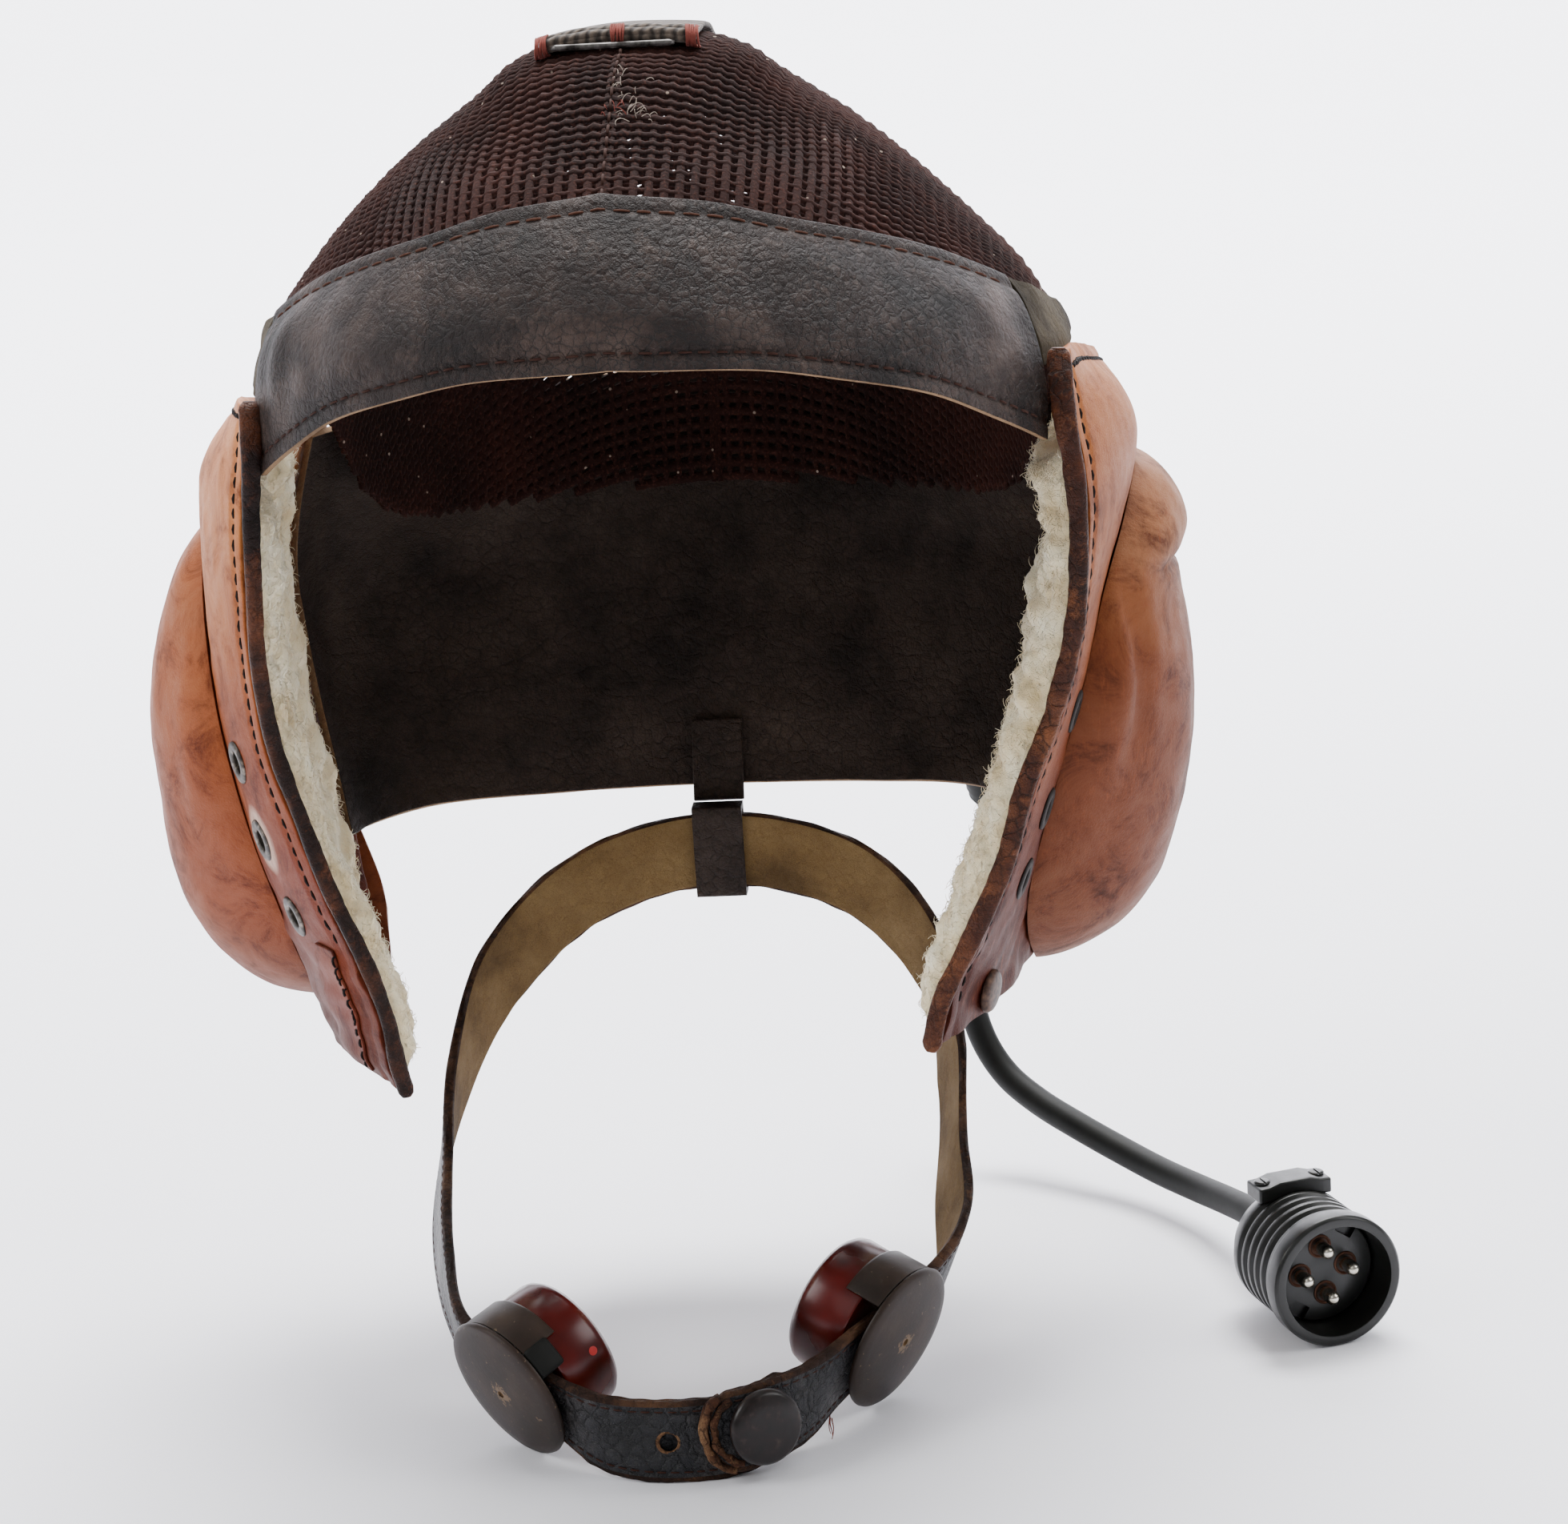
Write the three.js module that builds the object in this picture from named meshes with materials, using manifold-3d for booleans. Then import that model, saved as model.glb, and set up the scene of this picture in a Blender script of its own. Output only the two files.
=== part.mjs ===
// A netted flying helmet with throat microphones, a throat strap and a short lead.
// Millimetres, +Z up, the face looks along -Y and the wearer's left is +X.
// The origin is the inside of the crown's top, where the helmet rests on a head.
import * as THREE from "three";
import { mergeVertices } from "three/addons/utils/BufferGeometryUtils.js";
import Module from "manifold-3d";

const wasm = await Module();
wasm.setup();

// Driving dimensions
const GAP = 0.3;
const BAND_GAP = 0.5;
const SWAY_TOP = -0.8;
const SWAY_LOW = 2.2;
const NET_THICKNESS = 1.5;
const BAND_THICKNESS = 1.6;
const GUSSET_THICKNESS = 1.2;
const GUSSET_BACK = 63;
const GUSSET_BOTTOM = 68;
const PANEL_THICKNESS = 2;
const CUP_WALL = 2;
const CUP_SEAT = 0.7;
const LINING_THICKNESS = 10;
const LINING_TOP = 84.5;
const NET_BEHIND_BAND = 12;
const NAPE_TOP = 90;
const NAPE_BOTTOM = 186;
const NAPE_LIFT = 3.8;
const TAPE_WIDTH = 32;
const TAPE_THICKNESS = 1.2;
const TAPE_ROLL_RADIUS = 1.9;
const TAPE_ROLL_Y = -12.5;
const TAPE_BACK = 46;
const TAPE_SHIFT = -1.5;
const WIRE_RADIUS = 0.7;
const WIRE_LENGTH = 26;
const BINDING_WIDTH = 4.2;
const BINDING_DEPTH = 2.6;
const EYELET_RADIUS = 5;
const EYELET_HOLE_RADIUS = 2.3;
const STRAP_WIDTH = 18;
const STRAP_THICKNESS = 2.4;
const STRAP_HOLE_RADIUS = 2.2;
const SNAP_RADIUS = 8.7;
const STUD_RADIUS = 5.2;
const MIC_RADIUS = 17;
const MIC_DEPTH = 14;
const MIC_BAND_DEPTH = 6;
const CORD_DIAMETER = 6.8;
const GLAND_LENGTH = 26;
const FLOOR = -294;
const PLUG_RADIUS = 15.3;
const PLUG_LENGTH = 34;
const PIN_RADIUS = 1.5;
const PIN_CIRCLE = 5.6;
const PLUG_RECESS = 10.5;
const PIN_SEAT = -8.7;

// Turns rows of numbers into rows with named columns.
function table(columns, rows) {
  return rows.map((row, index) => ({
    row: index,
    ...Object.fromEntries(columns.map((column, i) => [column, row[i]])),
  }));
}

// Level sections of the head form: depth below the origin, half width, reach to the front and back.
const HEAD = table(
  ["down", "halfWidth", "front", "back"],
  [
    [-1.5, 0, 0, 0],
    [-1.1, 10, 11, 13],
    [0.3, 19, 22, 26],
    [3.5, 26.5, 35, 38],
    [9.5, 33.5, 47, 53],
    [20, 48, 67, 71],
    [31, 60.5, 78, 82],
    [43, 72, 85, 91],
    [54, 81, 89, 97],
    [66, 86, 91.5, 101],
    [80, 89, 92.5, 103],
    [95, 90, 92, 103],
    [110, 89.5, 90, 101],
    [125, 87.5, 87, 97],
    [140, 84.5, 82, 92],
    [155, 80.5, 77, 86],
    [170, 76, 72, 80],
    [190, 70, 66, 72],
  ],
);

// The forehead band's two edges, from the middle line to its end.
const BAND = table(
  ["along", "top", "bottom"],
  [
    [0, 22.5, 54],
    [0.3, 25.5, 56],
    [0.5, 30.5, 60.5],
    [0.68, 35.5, 66],
    [0.84, 41.5, 74],
    [0.95, 47.5, 79.5],
    [1, 50.5, 82],
  ],
);
const BAND_END_TOP = 74;
const BAND_END_BOTTOM = 65;

// Level sections of the two side flaps, which hang unevenly: the front edge, the middle and the back
// edge of each, by how far they stand from the middle line and by Y.
const FLAP = table(
  ["down", "edgeLeft", "edgeRight", "edgeY", "midLeft", "midRight", "midY", "backLeft", "backRight", "backY"],
  [
    [64, 89.5, 84, -36, 93, 91.5, -6, 90.5, 90.5, 34],
    [70, 90, 83.8, -38.5, 96.5, 94.8, -6, 93.5, 93.5, 38],
    [78, 90.8, 84, -41, 100.5, 98, -6, 96, 96, 46],
    [90, 92.3, 84.9, -42.5, 102, 100.5, -6, 97, 97, 56],
    [106, 92.2, 85.6, -43.5, 99, 101.5, -6, 95, 97, 63],
    [122, 90.3, 86, -44, 94, 102, -6, 91, 96.5, 67],
    [140, 85, 84, -44.8, 90, 101.5, -6, 87, 95, 68],
    [155, 78.6, 79.3, -47, 86, 99.5, -7, 84, 92.5, 66],
    [170, 73.8, 74.2, -50, 81, 96, -8, 80, 89, 61],
    [185, 66.5, 67.5, -53, 76.5, 91, -10, 76, 85.5, 53],
    [198, 59.5, 62.9, -55.5, 73.5, 86.5, -12, 73.5, 82, 43],
    [207, 57, 61.5, -57, 72, 83, -14, 73, 80, 34],
    [213, 56.5, 60, -57.5, 71, 80.5, -16, 72.5, 78, 24],
  ],
);

// How far down a flap starts along its top edge, which falls away towards the back.
const FLAP_EDGE = table(
  ["along", "drop"],
  [
    [0, 0],
    [0.2, 1],
    [0.42, 4],
    [0.7, 9],
    [1, 16],
  ],
);
const FLAP_SIDES = { 1: { top: 64, bottom: 207 }, "-1": { top: 67, bottom: 213 } };

// The throat strap's middle line, from its hidden inner end round the neck to the tab on the outside.
// Lean, in degrees, tips the strap's upper edge outwards.
const STRAP = table(
  ["x", "y", "z", "lean"],
  [
    [22.8, -67.6, -282.5, 4],
    [11, -79, -284.8, -4],
    [-4, -82, -285, -5],
    [-16.5, -80.6, -283.8, 3],
    [-27.2, -74.4, -280.4, 17],
    [-37.5, -65.5, -277.1, 20],
    [-47.8, -56.6, -274.1, 14],
    [-57, -30, -268.5, -4],
    [-62, 3, -257.5, -14],
    [-60.5, 26, -241, -8],
    [-52, 46, -222, 0],
    [-34, 61, -207, 0],
    [-11, 67, -200, 0],
    [11, 67, -200, 0],
    [34, 61, -207, 0],
    [50, 46, -222, 4],
    [54.5, 26, -241, 16],
    [54.5, 3, -258, 22],
    [54.8, -16.5, -267.5, 25],
    [50.2, -31.8, -272.8, 21],
    [40.7, -45.3, -276.6, 20.5],
    [31.6, -58.2, -279.8, 16],
    [24.6, -71.6, -281.5, 5],
    [15.5, -81.2, -282, -5],
    [5, -84.6, -283.4, -6],
  ],
);
const MIC_RIGHT_STATION = 5;
const MIC_LEFT_STATION = 20;
const SNAP_STATION = 23;
const HOLE_STATION = 2;
const KEEPER_STATION = 12.5;

// The lead's middle line after the gland, chosen by hand.
const CORD_ROUTE = [
  [64.9, 94.8, -205.2],
  [63.4, 100.8, -217.5],
  [60.1, 104.6, -229],
  [57.3, 107.6, -238.2],
  [55.9, 108.8, -246],
  [55.9, 108.6, -253],
  [57.2, 107.5, -259.4],
  [60, 105.3, -265.6],
  [64.5, 101.5, -271],
  [71.8, 95.1, -275.4],
  [81.8, 85.9, -279],
  [91.5, 77.2, -282],
  [101, 66.3, -283.7],
  [110.2, 52.5, -283.3],
  [116.8, 38.5, -281.3],
  [121.5, 26.5, -279.5],
];
const PLUG_FRONT = new THREE.Vector3(140, -20, FLOOR + PLUG_RADIUS);
const PLUG_AXIS = new THREE.Vector3(0.39, -0.92, 0).normalize();

const DEGREE = Math.PI / 180;
const UP = new THREE.Vector3(0, 0, 1);

// Smooth value of a column where the key column has a given value.
function smooth(rows, key, at, column) {
  const after = rows.findIndex((row) => row[key] > at);
  const i = after < 0 ? rows.length - 2 : Math.max(after - 1, 0);
  const pick = (k) => rows[Math.min(Math.max(k, 0), rows.length - 1)];
  const [before, start, end, next] = [pick(i - 1), pick(i), pick(i + 1), pick(i + 2)];
  const span = end[key] - start[key];
  const slopeStart = (end[column] - before[column]) / (end[key] - before[key]);
  const slopeEnd = (next[column] - start[column]) / (next[key] - start[key]);
  const t = THREE.MathUtils.clamp((at - start[key]) / span, 0, 1);
  return (
    start[column] * (2 * t ** 3 - 3 * t ** 2 + 1) +
    slopeStart * span * (t ** 3 - 2 * t ** 2 + t) +
    end[column] * (3 * t ** 2 - 2 * t ** 3) +
    slopeEnd * span * (t ** 3 - t ** 2)
  );
}

// A closed geometry from points and triangles: welded, without collapsed triangles, facing out.
function closed(points, triangles) {
  const raw = new THREE.BufferGeometry();
  raw.setAttribute("position", new THREE.Float32BufferAttribute(points.flatMap((p) => p.toArray()), 3));
  raw.setIndex(triangles.flat());
  const welded = mergeVertices(raw, 1e-3);
  const index = welded.index.array;
  const kept = [];
  for (let i = 0; i < index.length; i += 3) {
    const [a, b, c] = [index[i], index[i + 1], index[i + 2]];
    if (a !== b && b !== c && c !== a) kept.push(a, b, c);
  }
  welded.setIndex(kept);
  return volume(welded) < 0 ? flipped(welded) : welded;
}

function volume(geometry) {
  const position = geometry.getAttribute("position");
  const corner = (i) => new THREE.Vector3().fromBufferAttribute(position, geometry.index.array[i]);
  let total = 0;
  for (let i = 0; i < geometry.index.count; i += 3)
    total += corner(i).dot(corner(i + 1).cross(corner(i + 2))) / 6;
  return total;
}

function flipped(geometry) {
  const turned = [];
  const index = geometry.index.array;
  for (let i = 0; i < index.length; i += 3) turned.push(index[i], index[i + 2], index[i + 1]);
  geometry.setIndex(turned);
  return geometry;
}

// A wall between an outer and an inner grid of points, closed round its four edges.
function wall(outer, inner) {
  const rows = outer.length;
  const columns = outer[0].length;
  const points = [...outer.flat(), ...inner.flat()];
  const out = (i, j) => i * columns + j;
  const into = (i, j) => rows * columns + i * columns + j;
  const triangles = [];
  const quad = (a, b, c, d) => triangles.push([a, b, c], [a, c, d]);
  for (let i = 0; i + 1 < rows; i++)
    for (let j = 0; j + 1 < columns; j++) {
      quad(out(i, j), out(i, j + 1), out(i + 1, j + 1), out(i + 1, j));
      quad(into(i, j), into(i + 1, j), into(i + 1, j + 1), into(i, j + 1));
    }
  for (let j = 0; j + 1 < columns; j++) {
    quad(out(0, j), into(0, j), into(0, j + 1), out(0, j + 1));
    quad(out(rows - 1, j), out(rows - 1, j + 1), into(rows - 1, j + 1), into(rows - 1, j));
  }
  for (let i = 0; i + 1 < rows; i++) {
    quad(out(i, 0), out(i + 1, 0), into(i + 1, 0), into(i, 0));
    quad(out(i, columns - 1), into(i, columns - 1), into(i + 1, columns - 1), out(i + 1, columns - 1));
  }
  return closed(points, triangles);
}

// A wall whose two faces come from one function of the row, the column and the lift off the surface.
function wallOf(rows, columns, outerLift, innerLift, point) {
  const grid = (lift) =>
    Array.from({ length: rows + 1 }, (_, i) =>
      Array.from({ length: columns + 1 }, (_, j) => point(i / rows, j / columns, lift)),
    );
  return wall(grid(outerLift), grid(innerLift));
}

function mirrored(geometry) {
  return flipped(geometry.clone().scale(-1, 1, 1));
}

// Puts a shape made round the Z axis at a place, with Z turned to an axis and X to a second one.
function placed(geometry, origin, zAxis, xHint) {
  const z = zAxis.clone().normalize();
  const y = z.clone().cross(xHint).normalize();
  const x = y.clone().cross(z);
  return geometry.applyMatrix4(new THREE.Matrix4().makeBasis(x, y, z).setPosition(origin));
}

// A turned solid from a profile of radius and height pairs that starts and ends on the axis or
// closes on itself.
function turned(profile, sides) {
  const lathe = new THREE.LatheGeometry(
    profile.map(([radius, height]) => new THREE.Vector2(radius, height)),
    sides,
  );
  lathe.rotateX(Math.PI / 2);
  const position = lathe.getAttribute("position");
  const points = Array.from({ length: position.count }, (_, i) =>
    new THREE.Vector3().fromBufferAttribute(position, i),
  );
  const triangles = [];
  for (let i = 0; i < lathe.index.count; i += 3)
    triangles.push([lathe.index.array[i], lathe.index.array[i + 1], lathe.index.array[i + 2]]);
  return closed(points, triangles);
}

function bar(width, depth, height) {
  const box = new THREE.BoxGeometry(width, depth, height);
  box.deleteAttribute("normal");
  box.deleteAttribute("uv");
  return mergeVertices(box);
}

function solid(geometry) {
  return new wasm.Manifold(
    new wasm.Mesh({
      numProp: 3,
      vertProperties: new Float32Array(geometry.getAttribute("position").array),
      triVerts: new Uint32Array(geometry.index.array),
    }),
  );
}

function geometryOf(manifold) {
  const mesh = manifold.getMesh();
  return new THREE.BufferGeometry()
    .setAttribute("position", new THREE.BufferAttribute(new Float32Array(mesh.vertProperties), 3))
    .setIndex(new THREE.BufferAttribute(new Uint32Array(mesh.triVerts), 1));
}

function cut(geometry, ...tools) {
  return geometryOf(tools.reduce((left, tool) => left.subtract(solid(tool)), solid(geometry)));
}

function joined(geometry, ...others) {
  return geometryOf(others.reduce((left, other) => left.add(solid(other)), solid(geometry)));
}

// A point of a surface moved off it along its normal, which is taken from its neighbours.
function lifted(surface, u, v, lift) {
  const step = 1e-3;
  const across = surface(u + step, v).sub(surface(u - step, v));
  const along = surface(u, v + step).sub(surface(u, v - step));
  return surface(u, v).add(across.cross(along).normalize().multiplyScalar(lift));
}

// The head form, by row of its table and by angle from the front towards the wearer's left.
function headPoint(row, angle) {
  const halfWidth = smooth(HEAD, "row", row, "halfWidth");
  const reach = smooth(HEAD, "row", row, Math.cos(angle) > 0 ? "front" : "back");
  const down = smooth(HEAD, "row", row, "down");
  return new THREE.Vector3(halfWidth * Math.sin(angle), -reach * Math.cos(angle), -down);
}

function headLifted(row, angle, lift) {
  if (row < 0.02) return new THREE.Vector3(0, 0, -HEAD[0].down + lift);
  return lifted(headPoint, row, angle, lift);
}

// The crown leans a little: its top sits towards the wearer's right and its lower part to the left.
function sway(z) {
  return SWAY_TOP + (SWAY_LOW - SWAY_TOP) * THREE.MathUtils.smoothstep(-z, 30, 80);
}

function swayed(geometry) {
  const position = geometry.getAttribute("position");
  for (let i = 0; i < position.count; i++)
    position.setX(i, position.getX(i) + sway(position.getZ(i)));
  return geometry;
}

// The row of the head table at a depth.
function headRow(down) {
  let low = 0;
  let high = HEAD.length - 1;
  for (let turn = 0; turn < 30; turn++) {
    const middle = (low + high) / 2;
    if (smooth(HEAD, "row", middle, "down") < down) low = middle;
    else high = middle;
  }
  return low;
}

function bandAngle(along, fall) {
  return along * (BAND_END_TOP + (BAND_END_BOTTOM - BAND_END_TOP) * fall) * DEGREE;
}

function bandDown(along, fall) {
  const top = smooth(BAND, "along", Math.abs(along), "top");
  const bottom = smooth(BAND, "along", Math.abs(along), "bottom");
  return top + (bottom - top) * fall;
}

// How far down the net reaches, by angle: under the band in front, under the flaps, then to the nape.
const NET_EDGE = table(
  ["angle", "down"],
  [
    [BAND_END_TOP, 62.5],
    [88, 72],
    [100, 79],
    [112, 82],
    [118, 92],
    [124, 108],
    [135, 116],
    [180, 118],
  ],
);

function netEdge(angle) {
  const turn = angle / DEGREE;
  if (turn < BAND_END_TOP) return bandDown(turn / BAND_END_TOP, 0) + NET_BEHIND_BAND;
  return smooth(NET_EDGE, "angle", turn, "down");
}

function netHalf() {
  const half = wallOf(12, 16, 0, -NET_THICKNESS, (fall, turn, lift) => {
    const angle = turn * Math.PI;
    const point = headLifted(fall * headRow(netEdge(angle)), angle, lift);
    return point.setX(turn === 0 || turn === 1 ? 0 : point.x);
  });
  return half.translate(GAP / 2, 0, 0);
}

function foreheadBand() {
  return wallOf(4, 30, BAND_GAP + BAND_THICKNESS, BAND_GAP, (fall, turn, lift) => {
    const along = 2 * turn - 1;
    return headLifted(headRow(bandDown(along, fall)), bandAngle(along, fall), lift);
  });
}

function gusset() {
  const topFront = bandDown(1, 0) + 0.5;
  return wallOf(3, 6, GAP + GUSSET_THICKNESS, GAP, (fall, turn, lift) => {
    const top = topFront + (GUSSET_BACK - topFront) * turn;
    const down = top + (GUSSET_BOTTOM - top) * fall;
    const front = BAND_END_TOP + 0.6 - (down - topFront) * 0.27;
    const angle = front + (104 - front) * turn;
    return headLifted(headRow(down), angle * DEGREE, lift);
  });
}

// How far the head form stands out to one side at a depth and a Y.
function headSide(side, down, y) {
  const reach = smooth(HEAD, "down", down, y < 0 ? "front" : "back");
  const halfWidth = smooth(HEAD, "down", down, "halfWidth");
  return halfWidth * Math.sqrt(Math.max(1 - (y / reach) ** 2, 0.04)) + side * sway(-down);
}

// A flap's outer surface, from its front edge to its back edge. Side is 1 for the wearer's left.
// Towards its top edge it is drawn in to the head form, where it is sewn to the net.
function flapPoint(side) {
  return (down, along) => {
    const own = side > 0 ? "Left" : "Right";
    const value = (column) => smooth(FLAP, "down", down, column);
    const edge = new THREE.Vector2(value("edge" + own), value("edgeY"));
    const middle = new THREE.Vector2(value("mid" + own), value("midY"));
    const back = new THREE.Vector2(value("back" + own), value("backY"));
    const split = 0.42;
    const edgeShare = ((along - split) * (along - 1)) / split;
    const middleShare = (along * (along - 1)) / (split * (split - 1));
    const backShare = (along * (along - split)) / (1 - split);
    const x = edge.x * edgeShare + middle.x * middleShare + back.x * backShare;
    const y = edge.y * edgeShare + middle.y * middleShare + back.y * backShare;
    const drop = down - flapTop(side, along);
    const drawn = THREE.MathUtils.clamp(1 - drop / (14 + 46 * along ** 3), 0, 1) ** 2;
    const share = drawn * THREE.MathUtils.smoothstep(along, 0, 0.3);
    const seat = headSide(side, down, y) + 4 + 3.2 * THREE.MathUtils.smoothstep(along, 0.55, 0.9);
    return new THREE.Vector3(x + (seat - x) * share, y, -down);
  };
}

// The same surface lifted outwards.
function flapLifted(side, down, along, lift) {
  return lifted(flapPoint(side), down, along, lift);
}

function flapTop(side, along) {
  return FLAP_SIDES[side].top + smooth(FLAP_EDGE, "along", along, "drop");
}

// Where along the flap a given Y lies.
function flapAlong(side, down, y) {
  let low = -0.1;
  let high = 1.1;
  for (let turn = 0; turn < 30; turn++) {
    const middle = (low + high) / 2;
    if (flapPoint(side)(down, middle).y < y) low = middle;
    else high = middle;
  }
  return low;
}

// Eyelet places on each flap, by depth and Y.
const EYELETS = {
  1: [
    [143, -28.5],
    [164, -29.5],
    [178.7, -32],
  ],
  "-1": [
    [146.5, -30],
    [163.8, -31],
    [180.7, -33],
  ],
};

function eyeletFrame(side, [down, y]) {
  const along = flapAlong(side, down, y);
  const surface = flapLifted(side, down, along, 0);
  const outward = flapLifted(side, down, along, 1).sub(surface);
  return { surface, outward };
}

function drill(radius) {
  return turned([[0, -8], [radius, -8], [radius, 8], [0, 8]], 12);
}

function earPanel(side) {
  const panel = wallOf(13, 8, 0, -PANEL_THICKNESS, (fall, along, lift) => {
    const top = flapTop(side, along);
    return flapLifted(side, top + (FLAP_SIDES[side].bottom - top) * fall, along, lift);
  });
  const drills = EYELETS[side].map((place) => {
    const { surface, outward } = eyeletFrame(side, place);
    return placed(drill(EYELET_HOLE_RADIUS + 0.9), surface, outward, UP);
  });
  return cut(panel, ...drills);
}

function eyelet(side, place) {
  const ring = turned(
    [
      [EYELET_HOLE_RADIUS, 1.1],
      [EYELET_HOLE_RADIUS, -PANEL_THICKNESS],
      [EYELET_HOLE_RADIUS + 0.6, -PANEL_THICKNESS],
      [EYELET_HOLE_RADIUS + 0.6, GAP],
      [EYELET_RADIUS, GAP],
      [EYELET_RADIUS - 0.5, 1],
      [EYELET_HOLE_RADIUS + 0.8, 1.5],
      [EYELET_HOLE_RADIUS, 1.1],
    ],
    10,
  );
  const { surface, outward } = eyeletFrame(side, place);
  return placed(ring, surface, outward, UP);
}

// The lumpy pile of the sheepskin, thicker and thinner by a few millimetres.
function pile(down, along) {
  return 1.2 * Math.sin(down * 0.29 + 4 * along) * Math.cos(13 * along + down * 0.05);
}

function earLining(side) {
  const skin = -PANEL_THICKNESS - GAP - 0.5;
  return wallOf(14, 7, skin, skin - LINING_THICKNESS, (fall, along, lift) => {
    const top = Math.max(LINING_TOP, flapTop(side, along) + 2);
    const down = top + (FLAP_SIDES[side].bottom - 2 - top) * fall;
    const deep = lift < -PANEL_THICKNESS - 1;
    const rim = Math.min(1, 6 * Math.min(along, 1 - along) + 0.55, 6 * Math.min(fall, 1 - fall) + 0.55);
    const extra = deep ? (1 - rim) * LINING_THICKNESS - pile(down, along) * rim : 0;
    return flapLifted(side, down, 0.012 + 0.85 * along, lift + extra);
  });
}

function edgeBinding(side) {
  const steps = 22;
  const section = (down) => {
    const start = flapLifted(side, down, 0, -PANEL_THICKNESS / 2 - 0.6);
    const outward = flapLifted(side, down, 0, 1).sub(flapLifted(side, down, 0, 0));
    const forward = start.clone().sub(flapLifted(side, down, 0.04, -PANEL_THICKNESS / 2 - 0.6)).normalize();
    const corner = (ahead, out) =>
      start.clone().addScaledVector(forward, ahead).addScaledVector(outward, out);
    const half = BINDING_WIDTH / 2;
    return [
      corner(GAP, -half),
      corner(GAP, half),
      corner(BINDING_DEPTH * 0.7, half),
      corner(BINDING_DEPTH, half * 0.4),
      corner(BINDING_DEPTH, -half * 0.4),
      corner(BINDING_DEPTH * 0.7, -half),
    ];
  };
  const { top, bottom } = FLAP_SIDES[side];
  const downs = Array.from({ length: steps + 1 }, (_, i) => top - 1 + ((bottom + 1.5 - top) * i) / steps);
  return loft(downs.map(section));
}

// A solid through closed sections with the same number of corners, capped at both ends.
function loft(sections) {
  const sides = sections[0].length;
  const points = sections.flat();
  const triangles = [];
  for (let i = 0; i + 1 < sections.length; i++)
    for (let j = 0; j < sides; j++) {
      const [a, b] = [i * sides + j, i * sides + ((j + 1) % sides)];
      triangles.push([a, b, b + sides], [a, b + sides, a + sides]);
    }
  const last = (sections.length - 1) * sides;
  for (let j = 1; j + 1 < sides; j++) {
    triangles.push([0, j + 1, j]);
    triangles.push([last, last + j, last + j + 1]);
  }
  return closed(points, triangles);
}

// The moulded ear domes' middle ridges: depth and how far out each stands.
const CUP_RIDGE = {
  1: table(
    ["down", "x"],
    [
      [96, 99],
      [100, 106],
      [109, 111.5],
      [121, 110.5],
      [143, 113.5],
      [163, 112.5],
      [191, 105],
      [203, 96],
      [210, 84],
      [212, 78],
    ],
  ),
  "-1": table(
    ["down", "x"],
    [
      [100, 98],
      [104, 106],
      [112, 112.5],
      [126, 117],
      [144, 119.8],
      [163, 120.7],
      [182, 118.8],
      [198, 112],
      [210, 101.5],
      [215, 90],
    ],
  ),
};
const CUP_Y = 21;
const CUP_HALF_Y = 41;

// How far a dome stands off the flap at a place, nothing outside its oval rim.
function cupHeight(side, y, down) {
  const ridge = CUP_RIDGE[side];
  const top = ridge[0].down;
  const halfDown = (ridge[ridge.length - 1].down - top) / 2;
  const level = (down - top - halfDown) / halfDown;
  const halfY = CUP_HALF_Y * Math.sqrt(Math.max(1 - level ** 2, 1e-6));
  const across = Math.min(Math.abs(y - CUP_Y) / halfY, 1);
  const base = flapPoint(side)(down, flapAlong(side, down, CUP_Y)).x;
  const most = Math.max(smooth(ridge, "down", down, "x") - base - CUP_SEAT, 0);
  return most * (1 - across ** 2.6) ** 0.6;
}

function earCup(side) {
  const rings = 7;
  const sides = 20;
  const ridge = CUP_RIDGE[side];
  const halfDown = (ridge[ridge.length - 1].down - ridge[0].down) / 2;
  const grid = (wallShare, wallDepth) =>
    Array.from({ length: rings + 1 }, (_, i) =>
      Array.from({ length: sides + 1 }, (_, j) => {
        const radius = Math.sin((i / rings) * (Math.PI / 2)) * wallShare;
        const turn = ((j % sides) / sides) * 2 * Math.PI;
        const y = CUP_Y + CUP_HALF_Y * radius * Math.cos(turn);
        const down = ridge[0].down + halfDown * (1 + radius * Math.sin(turn));
        const seat = flapPoint(side)(down, flapAlong(side, down, y)).x + CUP_SEAT;
        return new THREE.Vector3(seat + Math.max(cupHeight(side, y, down) - wallDepth, 0), y, -down);
      }),
    );
  return wall(grid(1, 0), grid(0.95, CUP_WALL));
}

// The nape's outer face: from inside one flap's back edge, round the back, to inside the other's.
function napeRoute(down) {
  const inset = PANEL_THICKNESS + GAP + 1.6;
  const seam = (side, along) => {
    const { x, y } = flapLifted(side, down, along, -inset);
    return new THREE.Vector3(side * x, y, -down);
  };
  const halfWidth = smooth(HEAD, "down", down, "halfWidth");
  const reach = smooth(HEAD, "down", down, "back");
  const flare = THREE.MathUtils.smoothstep(down, NAPE_TOP, NAPE_TOP + 45);
  const between = (share) => {
    const { x, y } = seam(share < 0 ? -1 : 1, 1);
    const across = x * Math.abs(share);
    const onHead = reach * Math.sqrt(1 - ((across - sway(-down)) / halfWidth) ** 2);
    const flared = y + (reach - y) * Math.sqrt(1 - share ** 2);
    return new THREE.Vector3(across, onHead + (flared - onHead) * flare + NAPE_LIFT, -down);
  };
  const back = [0.82, 0.5, 0, -0.5, -0.82].map(between);
  return new THREE.CatmullRomCurve3(
    [seam(1, 0.93), seam(1, 1.01), ...back, seam(-1, 1.01), seam(-1, 0.93)],
    false,
    "centripetal",
  );
}

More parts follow.
